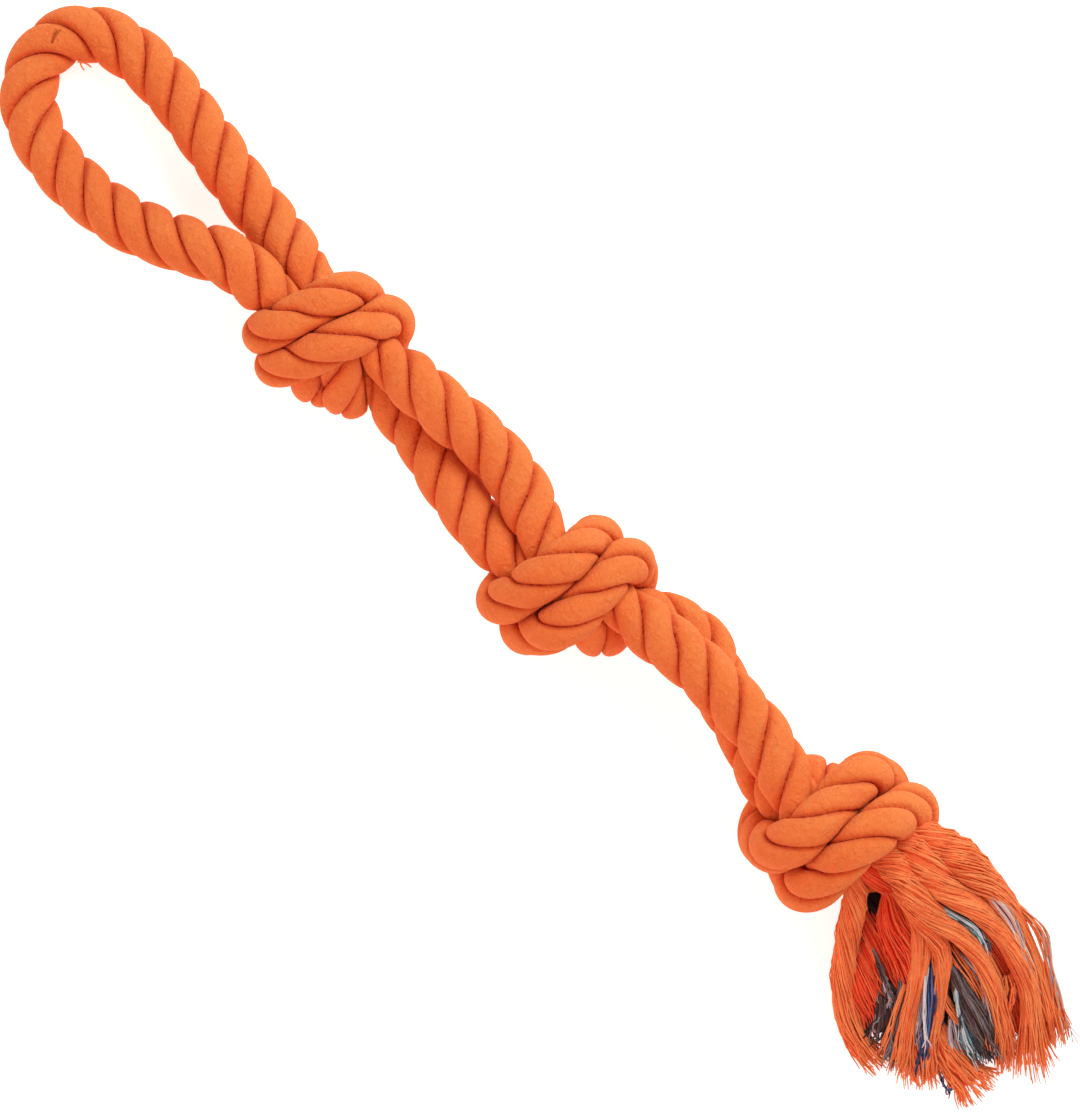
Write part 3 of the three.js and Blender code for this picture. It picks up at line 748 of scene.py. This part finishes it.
def yarns(paths, seed, colours):
    """Points, faces and dyes of thin tubes of four sides round the paths, thinner at their ends:
    a path's point plus the radius times the cosine and the sine of each side's angle, along two
    directions square to the path."""
    random = np.random.default_rng(seed)
    count = len(paths)
    way = np.gradient(paths, axis=1)
    way /= np.linalg.norm(way, axis=2, keepdims=True)
    side = np.cross(way, np.broadcast_to(OFF_AXIS, way.shape))
    side /= np.linalg.norm(side, axis=2, keepdims=True)
    up = np.cross(way, side)
    size = YARN * random.uniform(*YARN_RANGE, count)[:, None, None, None]
    tips = 1 - TIP_LOSS * rise(np.linspace(0, 1, RINGS), *TIP_RAMP)
    size = size * tips[None, :, None, None]
    a = 2 * np.pi * np.arange(SIDES) / SIDES
    points = (paths[:, :, None] + size * (np.cos(a)[:, None] * side[:, :, None]
                                          + np.sin(a)[:, None] * up[:, :, None]))
    quads, fans = tube_faces(RINGS, SIDES)
    start = (np.arange(count) * RINGS * SIDES)[:, None, None]
    tint = np.asarray(colours)[random.integers(0, len(colours), count)]
    tint = tint * random.uniform(*DYE_RANGE, (count, 1))
    return (points.reshape(-1, 3), (quads[None] + start).reshape(-1, 4),
            (fans[None] + start).reshape(-1, 3), np.repeat(tint, RINGS * SIDES, axis=0))


def filling(rows, colour):
    """The closed body under a bundle's outer yarns: a tube a little under their radius that
    shrinks to nothing before the cut ends, with the root of the length left to its end."""
    middle, radius = bundle_line(rows, FILL_RINGS)
    side, up = carried_frames(middle)
    left = np.clip((FILL_END - np.linspace(0, 1, FILL_RINGS)) / FILL_RAMP, 0, 1)
    r = (FILL_SHARE * radius * np.sqrt(left) + FILL_LEAST)[:, None]
    a = 2 * np.pi * np.arange(FILL_SIDES) / FILL_SIDES
    points = (middle[:, None] + (r * np.cos(a))[..., None] * side[:, None]
              + (r * np.sin(a))[..., None] * up[:, None])
    quads, fans = tube_faces(FILL_RINGS, FILL_SIDES)
    return (over_floor(points).reshape(-1, 3), quads, fans,
            np.tile(colour, (FILL_RINGS * FILL_SIDES, 1)))


def joined(name, parts):
    """One mesh of several parts. The faces of each count on from the points before it."""
    first = np.cumsum([0] + [len(part[0]) for part in parts])
    moved = [(points, quads + n, fans + n, tint)
             for (points, quads, fans, tint), n in zip(parts, first)]
    points, quads, fans, tint = (np.concatenate(p) for p in zip(*moved))
    return make_mesh(name, points, quads, fans, tint=tint)


COVER = np.array([(0.97, 0.275, 0.094), (0.98, 0.315, 0.108), (0.96, 0.235, 0.080),
                  (0.98, 0.345, 0.122)])
# painted shade: a deeper red copy of the cover yarn's dyes, for bundles that lie in shade
SHADED_COVER = np.array([(1.0, 0.148, 0.054), (1.0, 0.205, 0.074), (0.95, 0.095, 0.040)])
CHARCOAL = np.array([(0.11, 0.088, 0.096), (0.18, 0.15, 0.155), (0.045, 0.038, 0.044),
                     (0.09, 0.075, 0.080), (0.14, 0.115, 0.120), (0.26, 0.29, 0.32)])
# near-black yarns, in the dark hole at the tassel's root and among the charcoal yarns
DEEP = np.array([(0.008, 0.014, 0.010), (0.015, 0.02, 0.016)])
NAVY = np.array([(0.035, 0.09, 0.27), (0.10, 0.19, 0.45), (0.02, 0.03, 0.09)])
SKY = np.array([(0.30, 0.55, 0.64), (0.14, 0.38, 0.46), (0.64, 0.82, 0.88), (0.06, 0.07, 0.09)])
PALE = np.array([(0.64, 0.67, 0.72), (0.80, 0.84, 0.88), (0.37, 0.41, 0.49)])
ROSE = np.array([(0.80, 0.14, 0.20), (0.75, 0.35, 0.38)])
LILAC = np.array([(0.60, 0.46, 0.48), (0.85, 0.76, 0.68), (0.34, 0.27, 0.33), (0.95, 0.40, 0.20),
                  (0.75, 0.66, 0.62)])

# The bundles of each piece of the tassel. A bundle's rows hold the place along, across and above
# the floor and the radius, in pixels. Then come its number of yarns, twist in turns and dyes; the
# deeper red dyes are painted shade.
TASSEL = {
    "cover_yarn_a1": [
        ([(1212, 2, 96, 9), (1230, -9, 92, 11), (1242, -21, 86, 12), (1253, -37, 78, 12),
          (1266, -54, 66, 11), (1282, -74, 52, 11), (1300, -91, 40, 11), (1320, -106, 30, 12),
          (1346, -118, 20, 11), (1368, -121, 13, 10), (1388, -122, 11, 10)], 110, -1.0, COVER)],
    "cover_yarn_a2": [
        ([(1206, 12, 100, 10), (1232, 11, 96, 12), (1256, 12, 80, 8), (1270, 5, 74, 13),
          (1288, -7, 70, 19), (1310, -14, 66, 22), (1335, -26, 56, 20), (1362, -44, 44, 11)],
         140, -0.25, SHADED_COVER),
        ([(1236, -8, 52, 8), (1262, -24, 46, 14), (1290, -38, 44, 18), (1320, -52, 40, 16),
          (1345, -64, 34, 11)], 90, -0.2, SHADED_COVER),
        ([(1250, -30, 40, 9), (1275, -54, 38, 14), (1300, -69, 36, 19), (1322, -80, 30, 18),
          (1340, -88, 24, 12), (1354, -95, 16, 7)], 110, -0.2, SHADED_COVER)],
    "cover_yarn_a3": [
        ([(1288, 10, 90, 5), (1306, 4, 92, 7), (1320, -11, 88, 6), (1340, -34, 78, 5),
          (1362, -65, 60, 5), (1382, -91, 42, 6), (1400, -110, 24, 8)], 44, -0.3, COVER),
        ([(1314, 6, 92, 3), (1328, -4, 90, 3), (1342, -24, 83, 3), (1354, -42, 74, 3),
          (1376, -73, 54, 4), (1398, -99, 34, 6), (1414, -112, 22, 8)], 34, -0.2, COVER),
        ([(1338, -44, 70, 2), (1350, -68, 62, 2), (1366, -94, 40, 3), (1378, -116, 16, 4)],
         9, -0.2, COVER),
        ([(1366, -50, 46, 5), (1392, -78, 36, 9), (1428, -100, 18, 12)], 60, -0.2, COVER)],
    "cover_yarn_b1": [
        ([(1212, 66, 90, 10), (1236, 74, 104, 12), (1256, 78, 112, 16), (1280, 82, 114, 21),
          (1305, 84, 110, 18), (1335, 86, 104, 12), (1365, 83, 94, 6), (1385, 77, 86, 5),
          (1405, 68, 78, 5), (1440, 52, 62, 7), (1470, 36, 48, 9), (1492, 22, 38, 8)],
         150, -1.0, COVER),
        ([(1212, 52, 92, 14), (1236, 55, 108, 17), (1262, 52, 120, 19), (1285, 51, 120, 16),
          (1310, 56, 114, 12), (1335, 60, 106, 11), (1365, 61, 98, 9), (1395, 54, 88, 9),
          (1425, 42, 74, 9), (1455, 20, 56, 10), (1480, 0, 40, 12), (1501, -12, 26, 14)],
         150, -1.0, COVER),
        ([(1290, 68, 84, 10), (1330, 74, 86, 14), (1365, 70, 78, 12), (1405, 54, 64, 10)],
         80, -0.3, SHADED_COVER),
        ([(1216, 60, 60, 14), (1250, 71, 58, 18), (1300, 74, 52, 19), (1340, 64, 46, 17),
          (1390, 44, 36, 14), (1440, 16, 24, 12)], 110, -0.6, COVER),
        ([(1350, 90, 98, 2), (1380, 91, 94, 4), (1402, 86, 88, 6), (1427, 70, 76, 3),
          (1455, 54, 62, 5), (1484, 34, 46, 9)], 12, -0.2, COVER)],
    "cover_yarn_b2": [
        ([(1208, 30, 104, 15), (1232, 33, 110, 18), (1262, 32, 118, 19), (1285, 25, 118, 14),
          (1310, 25, 110, 10), (1335, 29, 102, 9), (1360, 29, 96, 8), (1385, 24, 88, 8),
          (1410, 13, 76, 8), (1435, -2, 60, 8), (1455, -17, 46, 7), (1474, -34, 34, 6)],
         140, -1.0, COVER),
        ([(1300, 16, 60, 8), (1335, 16, 64, 12), (1365, 8, 62, 13), (1395, -8, 50, 12)],
         60, -0.2, SHADED_COVER),
        ([(1236, 40, 76, 18), (1270, 44, 84, 22), (1310, 46, 86, 24), (1350, 44, 76, 20),
          (1400, 30, 56, 16), (1440, 8, 38, 13), (1470, -10, 24, 10)], 110, -0.3, SHADED_COVER),
        ([(1402, 36, 78, 4), (1416, 26, 74, 6), (1424, 10, 66, 7)], 22, 0, COVER)],
    "cover_yarn_b3": [
        ([(1262, 16, 98, 6), (1290, 14, 100, 9), (1312, 13, 98, 10), (1332, 9, 94, 9),
          (1350, -4, 88, 7), (1366, -23, 78, 6), (1385, -48, 62, 6), (1408, -78, 40, 7),
          (1432, -98, 24, 9)], 70, -0.5, COVER),
        ([(1366, -16, 70, 3), (1384, -46, 54, 5), (1400, -68, 38, 6), (1414, -92, 24, 7)],
         24, -0.2, SHADED_COVER),
        ([(1336, 16, 86, 4), (1362, 9, 86, 5), (1390, 3, 80, 4), (1420, -12, 66, 4),
          (1446, -26, 52, 5)], 16, -0.1, COVER),
        ([(1380, -38, 44, 6), (1402, -52, 40, 10), (1428, -62, 34, 15), (1474, -67, 24, 18)],
         120, -0.2, COVER),
        ([(1366, -22, 70, 3), (1384, -28, 66, 4), (1406, -31, 60, 4), (1430, -24, 52, 4)],
         14, -0.1, COVER)],
    "core_yarn_1": [
        ([(1330, 6, 78, 3), (1346, -16, 79, 6), (1364, -34, 76, 6), (1387, -61, 62, 4),
          (1416, -98, 30, 3)], 30, -0.1, NAVY),
        ([(1422, -76, 26, 4), (1442, -84, 20, 4), (1456, -88, 16, 4)], 10, 0, NAVY)],
    "core_yarn_2": [
        ([(1284, 32, 102, 2), (1300, 35, 108, 4), (1320, 40, 108, 5), (1338, 44, 104, 5),
          (1352, 43, 99, 4), (1374, 36, 88, 2)], 30, -0.1, SKY),
        ([(1364, 2, 76, 3), (1382, -14, 78, 3), (1404, -28, 66, 4), (1424, -37, 52, 8),
          (1452, -42, 34, 10)], 46, -0.1, SKY)],
    "core_yarn_3": [
        ([(1335, 12, 78, 6), (1362, 5, 78, 9), (1382, -4, 74, 12), (1402, -11, 67, 14),
          (1424, -19, 56, 12), (1457, -31, 36, 8)], 120, -0.2, CHARCOAL),
        ([(1340, -4, 56, 10), (1380, -22, 48, 15), (1410, -36, 38, 13), (1444, -46, 26, 10)],
         60, -0.2, DEEP),
        ([(1322, -18, 64, 6), (1339, -40, 62, 8), (1360, -69, 48, 9), (1384, -101, 24, 9),
          (1392, -112, 16, 8)], 60, -0.2, CHARCOAL),
        ([(1326, -56, 46, 6), (1344, -74, 38, 12), (1360, -104, 14, 12)], 76, -0.2, CHARCOAL),
        ([(1276, -41, 58, 1), (1298, -46, 60, 2), (1320, -56, 58, 2), (1342, -67, 50, 3)],
         12, -0.2, CHARCOAL),
        ([(1316, -54, 56, 2), (1332, -62, 54, 3), (1346, -70, 48, 3)], 10, -0.2, PALE),
        ([(1330, 2, 68, 6), (1350, -9, 70, 9), (1372, -30, 58, 9), (1392, -54, 42, 6)],
         50, -0.2, CHARCOAL),
        ([(1224, 2, 66, 10), (1250, -4, 62, 13), (1272, -10, 50, 11), (1300, -26, 34, 8)],
         50, -0.2, DEEP)],
    "core_yarn_4": [
        ([(1292, 73, 100, 1), (1314, 77, 109, 2), (1334, 79, 111, 4), (1352, 77, 106, 6),
          (1368, 73, 99, 5), (1384, 67, 94, 4), (1402, 59, 88, 4), (1422, 49, 78, 3),
          (1445, 36, 64, 2)], 28, -0.3, LILAC),
        ([(1334, -14, 76, 2), (1350, -32, 74, 3), (1372, -56, 62, 3), (1396, -84, 38, 3)],
         14, -0.1, PALE),
        ([(1396, -34, 58, 3), (1415, -50, 46, 6), (1438, -61, 34, 7)], 26, -0.1, PALE),
        ([(1350, 16, 84, 1), (1372, 16, 88, 1), (1396, 9, 82, 2), (1420, -6, 69, 3),
          (1440, -16, 56, 3)], 4, -0.1, PALE),
        ([(1348, -38, 66, 2), (1368, -58, 58, 3), (1392, -86, 38, 3)], 10, -0.1, ROSE),
        ([(1340, -16, 86, 1), (1360, -40, 84, 1), (1382, -60, 76, 1), (1406, -78, 58, 2)],
         3, -0.1, PALE),
        ([(1352, 91, 96, 2), (1380, 93, 92, 3), (1402, 89, 86, 4), (1428, 71, 76, 3),
          (1455, 56, 62, 4), (1478, 42, 50, 5), (1500, 32, 40, 10)], 9, -0.1, PALE),
        ([(1412, 62, 70, 3), (1440, 48, 62, 4), (1466, 34, 50, 4)], 12, -0.1, LILAC)],
}
for number, (name, bundles) in enumerate(TASSEL.items()):
    parts = []
    for index, (rows, count, twist, dyes) in enumerate(bundles):
        seed = SEEDS_APART * number + index
        parts.append(yarns(yarn_paths(rows, count, seed, twist), seed, dyes))
        if count > FILLED_FROM:
            # the filling's darker, redder copy of the mean dye is painted shade between the yarns
            parts.append(filling(rows, dyes.mean(0) * FILL_SHADE))
    pieces[name] = joined(name, parts)
    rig.replaces(pieces[name], name.replace("yarn", "lock"))
    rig.blend(pieces[name], "tassel_knot", "tassel", *map(on_axis, TASSEL_BEND))
for mark in "ab":
    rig.replaces(pieces[f"knot_3_rope_{mark}"], f"rope_end_{mark}")

# Threads at the far end of the loop, in pixels along, across and up: two worked loose, and dark
# brown ones that are painted shadows of pulled fibres
FRAY_SEED = 41
FRAY_COUNT = 6  # of dark brown threads, painted shadows of pulled fibres
FRAY_TOP = [(50, 23, 0), (54, 6, 0)]  # where they start and end on the loop's top
FRAY_SPREAD = (10, 4, 0)
FRAY_BOW = (2.0, 0, 0)
FRAY_SIDE = [(93, 12, 34), (107, 18, 38), (93, 15, 32), (104, 11, 36)]  # two at its inner side
SIDE_BOWS = np.array([(0, 2.0, 0), (0, -1.0, 0)])
# painted shadow: dark brown for the threads that stand for the shadows of pulled fibres
FRAY_SHADOW = np.array([(0.52, 0.110, 0.022), (0.38, 0.070, 0.014), (0.64, 0.150, 0.030)])
SUNK = 0.00017  # how deep the dark threads of painted shadow lie in the rope
TOP_ROWS = 60  # rows to each side of the bight that they can lie on
TOP_REACH = 0.0008  # how far a height is felt


def height_on(points):
    """The height of the rope's upper side under each point: the mean of its surface's heights,
    weighted by exp(-(distance / reach) squared)."""
    rows = slice(bight - TOP_ROWS, bight + TOP_ROWS)
    upper = surface[rows][surface[rows][..., 2] > line[rows, None, 2]]
    apart = np.linalg.norm(points[..., None, :2] - upper[:, :2], axis=-1)
    weight = np.exp(-(apart / TOP_REACH) ** 2)
    return (weight * upper[:, 2]).sum(-1) / weight.sum(-1)


def thread_paths(starts, ends, bow):
    """Threads from start to end, bent sideways by the bow times sin(pi t)."""
    t = np.linspace(0, 1, RINGS)[None, :, None]
    starts, ends = (place(p)[:, None] + SHIFT for p in (starts, ends))
    return starts + (ends - starts) * t + np.sin(np.pi * t) * bow[:, None] * PIXEL


def loose_threads():
    """Threads at the far end of the loop: dark brown ones, painted shadows of pulled fibres, lie
    sunk in its top, and two worked loose stick out of its inner side."""
    random = np.random.default_rng(FRAY_SEED)
    starts, ends = (at + random.uniform(0, 1, (FRAY_COUNT, 3)) * FRAY_SPREAD for at in FRAY_TOP)
    top = thread_paths(starts, ends, random.uniform(-1, 1, (FRAY_COUNT, 1)) * FRAY_BOW)
    top[..., 2] = height_on(top) - SUNK
    out = thread_paths(FRAY_SIDE[::2], FRAY_SIDE[1::2], SIDE_BOWS)
    return joined("loose_threads", [yarns(top, FRAY_SEED, FRAY_SHADOW),
                                    yarns(out, FRAY_SEED + 1, COVER)])


pieces["loose_threads"] = loose_threads()
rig.ride(pieces["loose_threads"], "handle")


# Materials
ROPE_TONES = [(0.3, (0.87, 0.165, 0.036)), (0.5, (0.905, 0.212, 0.051)),
              (0.7, (0.945, 0.268, 0.074))]
LINT = (0.94, 0.44, 0.20)
# painted shade in the small pits
PIT_SHADE = (0.72, 0.070, 0.014)
# painted shade along the grooves between the strands: deep red, and darker still at their middle
GROOVE_SHADE_RED = (0.72, 0.040, 0.007)
GROOVE_SHADE_DARK = (0.42, 0.018, 0.003)
YARN_SHADES = [(0.35, (0.90, 0.68, 0.62)), (0.5, (0.98, 0.93, 0.92)), (0.65, (1.0, 1.0, 1.0))]
FLOOR_TONES = (0.93, 0.93, 0.935), (0.95, 0.95, 0.955)
FLOOR_GLOW = 0.68  # keeps the background white
SHEEN_TINT = (1, 0.5, 0.3)


class Value:
    """A socket of a material's nodes. Python's operators on it add Math nodes."""

    def __init__(self, kit, socket):
        self.kit = kit
        self.socket = socket

    def math(self, operation, *values):
        """The result of a Math node on the values."""
        return self.kit.node("Math", {"operation": operation}, *values)

    def __add__(self, other):
        return self.math("ADD", self, other)

    def __sub__(self, other):
        return self.math("SUBTRACT", self, other)

    def __rsub__(self, other):
        return self.math("SUBTRACT", other, self)

    def __mul__(self, other):
        return self.math("MULTIPLY", self, other)

    def __pow__(self, other):
        return self.math("POWER", self, other)

    __radd__ = __add__
    __rmul__ = __mul__


class Kit:
    """The nodes of one material."""

    def __init__(self, name):
        self.material = bpy.data.materials.new(name)
        self.material.use_nodes = True
        self.tree = self.material.node_tree
        self.tree.nodes.clear()

    def feed(self, socket, value):
        """Links a Value to a socket, or sets the socket's own value. Colours are opaque."""
        if isinstance(value, Value):
            self.tree.links.new(value.socket, socket)
        elif socket.type == "RGBA":
            socket.default_value = (*value, 1)
        else:
            socket.default_value = value

    def node(self, kind, settings=None, *values, out=0, **named):
        """Adds a node: its settings, then the values of its sockets in order and by name."""
        n = self.tree.nodes.new("ShaderNode" + kind)
        for key, value in (settings or {}).items():
            setattr(n, key, value)
        for key, value in enumerate(values):
            self.feed(n.inputs[key], value)
        for key, value in named.items():
            self.feed(n.inputs[key.replace("_", " ")], value)
        return Value(self, n.outputs[out])

    def noise(self, at, scale, detail, roughness=0.5, **named):
        """A noise texture read at the given places."""
        return self.node("TexNoise", None, at, Scale=scale, Detail=detail,
                         Roughness=roughness, **named)

    def ramp(self, factor, stops):
        """A colour ramp through stops of a place and a colour."""
        value = self.node("ValToRGB", None, factor)
        elements = value.socket.node.color_ramp.elements
        while len(elements) < len(stops):
            elements.new(0.5)
        for element, (at, colour) in zip(elements, stops):
            element.position = at
            element.color = (*colour, 1)
        return value

    def mix(self, factor, a, b, blend="MIX"):
        """Mixes two colours, which the node takes at its sockets 6 and 7."""
        settings = {"data_type": "RGBA", "blend_type": blend}
        value = self.node("Mix", settings, factor, out=2)
        self.feed(value.socket.node.inputs[6], a)
        self.feed(value.socket.node.inputs[7], b)
        return value

    def finish(self, colour, roughness=0.9, sheen=0.12, shine=0.2, glow=0.0, **named):
        """Ends the material with one shader of these values."""
        shader = self.node("BsdfPrincipled", None, Base_Color=colour,
                           Roughness=roughness, Specular_IOR_Level=shine, Sheen_Weight=sheen,
                           Sheen_Roughness=0.5, Sheen_Tint=SHEEN_TINT,
                           Emission_Color=(1, 1, 1), Emission_Strength=glow, **named)
        output = self.tree.nodes.new("ShaderNodeOutputMaterial")
        self.feed(output.inputs[0], shader)
        return self.material


def rope_material():
    """Soft cotton strands. The tone within ROPE_TONES is the weighted mean of fine fibres and
    faint threads along the rope, clouds and lumps. Over it come sparse pale lint, painted shade
    in small pits, painted shade in deep red along the grooves and, by the groove's sixth power,
    a darker line of painted shade in them. Small ticks across the rope break the grooves up. The
    height is a weighted sum of all but the clouds."""
    kit = Kit("laid_cotton")
    straight_at = kit.node("Attribute", {"attribute_name": "straight"}, out="Vector")
    crease_at = kit.node("Attribute", {"attribute_name": "crease"}, out="Fac")
    object_at = kit.node("TexCoord", out="Object")

    def streaks(scale, detail, roughness):
        """Noise in the straightened rope, scaled apart across it and along it."""
        return kit.noise(kit.node("Mapping", None, straight_at, Scale=scale), 1,
                         detail, roughness)

    fibres = streaks((2600, 2600, 150), 3, 0.65)
    threads = streaks((700, 700, 50), 1, 0.5)
    ticks = streaks((420, 420, 1500), 1, 0.5)
    cloud = kit.noise(object_at, 70, 2, 0.5)
    lumps = kit.noise(object_at, 420, 3, 0.6, Distortion=0.8)
    lint = kit.noise(object_at, 1500, 1, 0.4)
    dents = kit.noise(object_at, 520, 1, 0.5, Distortion=1.2)
    pits = kit.node("MapRange", None, dents, 0.64, 0.74, 0.0, 1.0)
    flecks = kit.node("MapRange", None, lint, 0.65, 0.76, 0.0, 0.50)
    groove = crease_at * (ticks * 0.9 + 0.55)
    tone = fibres * 0.25 + threads * 0.1 + cloud * 0.3 + lumps * 0.35
    linted = kit.mix(flecks, kit.ramp(tone, ROPE_TONES), LINT)
    # painted shade: darker in the small pits
    pit_shaded = kit.mix(pits * 0.10, linted, PIT_SHADE)
    # painted shade: deep red along the grooves, and a darker line at their middle
    groove_shaded = kit.mix(groove * 0.6, pit_shaded, GROOVE_SHADE_RED)
    colour = kit.mix(groove ** 6 * 0.75, groove_shaded, GROOVE_SHADE_DARK)
    height = (fibres + threads * 0.3 + lumps * 3.4 + lint * 0.5 - pits * 0.5
              - groove * ticks * 2.0)
    normal = kit.node("Bump", None, Strength=0.6, Distance=0.0006, Height=height)
    return kit.finish(colour, Normal=normal)


def yarn_material():
    """Loose yarn, each with its own dye, darker and redder in patches and fine flecks."""
    kit = Kit("loose_yarn")
    tint = kit.node("Attribute", {"attribute_name": "tint"})
    object_at = kit.node("TexCoord", out="Object")
    fleck = kit.noise(object_at, 900, 2, 0.6)
    patch = kit.noise(object_at, 130, 2, 0.6)
    colour = kit.mix(1.0, tint, kit.ramp(patch * 0.55 + fleck * 0.45, YARN_SHADES), "MULTIPLY")
    normal = kit.node("Bump", None, Strength=0.5, Distance=0.0003, Height=fleck)
    return kit.finish(colour, sheen=0.15, shine=0.1, Normal=normal)


def floor_material():
    """A pale floor with faint clouds that glows enough to look white."""
    kit = Kit("pale_floor")
    grain = kit.noise(kit.node("TexCoord", out="Object"), 3, 1)
    colour = kit.mix(grain, *FLOOR_TONES)
    return kit.finish(colour, roughness=0.8, sheen=0.0, glow=FLOOR_GLOW)


ROPE_LOOK, YARN_LOOK = rope_material(), yarn_material()
SLOTS = {"loose_threads": "rope", "core_yarn_1": "blue_yarn", "core_yarn_2": "grey_yarn",
         "core_yarn_3": "charcoal_yarn", "core_yarn_4": "pale_yarn"}
for name, piece in pieces.items():
    is_rope = "rope" in name
    piece.data.materials.append(ROPE_LOOK if is_rope else YARN_LOOK)
    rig.slot(piece, "rope" if is_rope else SLOTS.get(name, "cover_yarn"))

# Floor and light. A light's values are its place along the picture's top and right and above the
# floor, its size, its power and its colour.
FLOOR_HALF = 3.0
AIM = (0, 0, 0.03)
TOP = np.array([-np.sin(ANGLE), np.cos(ANGLE), 0])
RIGHT = np.array([np.cos(ANGLE), np.sin(ANGLE), 0])
LIGHTS = {"key": (1.45, 1.1, 1.8, 1.6, 40, (0.90, 1.16, 1.16)),
          "fill": (-1.3, -1.0, 1.7, 2.0, 18, (1.06, 0.5, 0.42))}
WORLD_COLOUR, WORLD_STRENGTH = (1.04, 0.81, 0.77), 0.50

floor = make_mesh("floor", [(-FLOOR_HALF, -FLOOR_HALF, 0), (FLOOR_HALF, -FLOOR_HALF, 0),
                            (FLOOR_HALF, FLOOR_HALF, 0), (-FLOOR_HALF, FLOOR_HALF, 0)],
                  [(0, 1, 2, 3)])
floor.data.materials.append(floor_material())
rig.stage(floor)


def soft_light(name, up, across, height, size, power, colour):
    """A square soft light that faces the toy."""
    light = bpy.data.lights.new(name, "AREA")
    light.size, light.energy, light.color = size, power, colour
    where = up * TOP + across * RIGHT + (0, 0, height)
    lamp = bpy.data.objects.new(name, light)
    lamp.location = where
    lamp.rotation_euler = Vector(np.array(AIM) - where).to_track_quat("-Z", "Y").to_euler()
    bpy.context.scene.collection.objects.link(lamp)


for name, values in LIGHTS.items():
    soft_light(name, *values)
world = bpy.data.worlds.new("studio")
world.use_nodes = True
background = world.node_tree.nodes["Background"]
background.inputs[0].default_value = (*WORLD_COLOUR, 1)
background.inputs[1].default_value = WORLD_STRENGTH
bpy.context.scene.world = world
bpy.context.scene.view_settings.view_transform = "Standard"

with open("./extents.json", "w") as handle:
    json.dump({"solids": [list(map(float, c)) for c in solid_box],
               "looks": [list(map(float, c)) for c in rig.bounds()]}, handle)
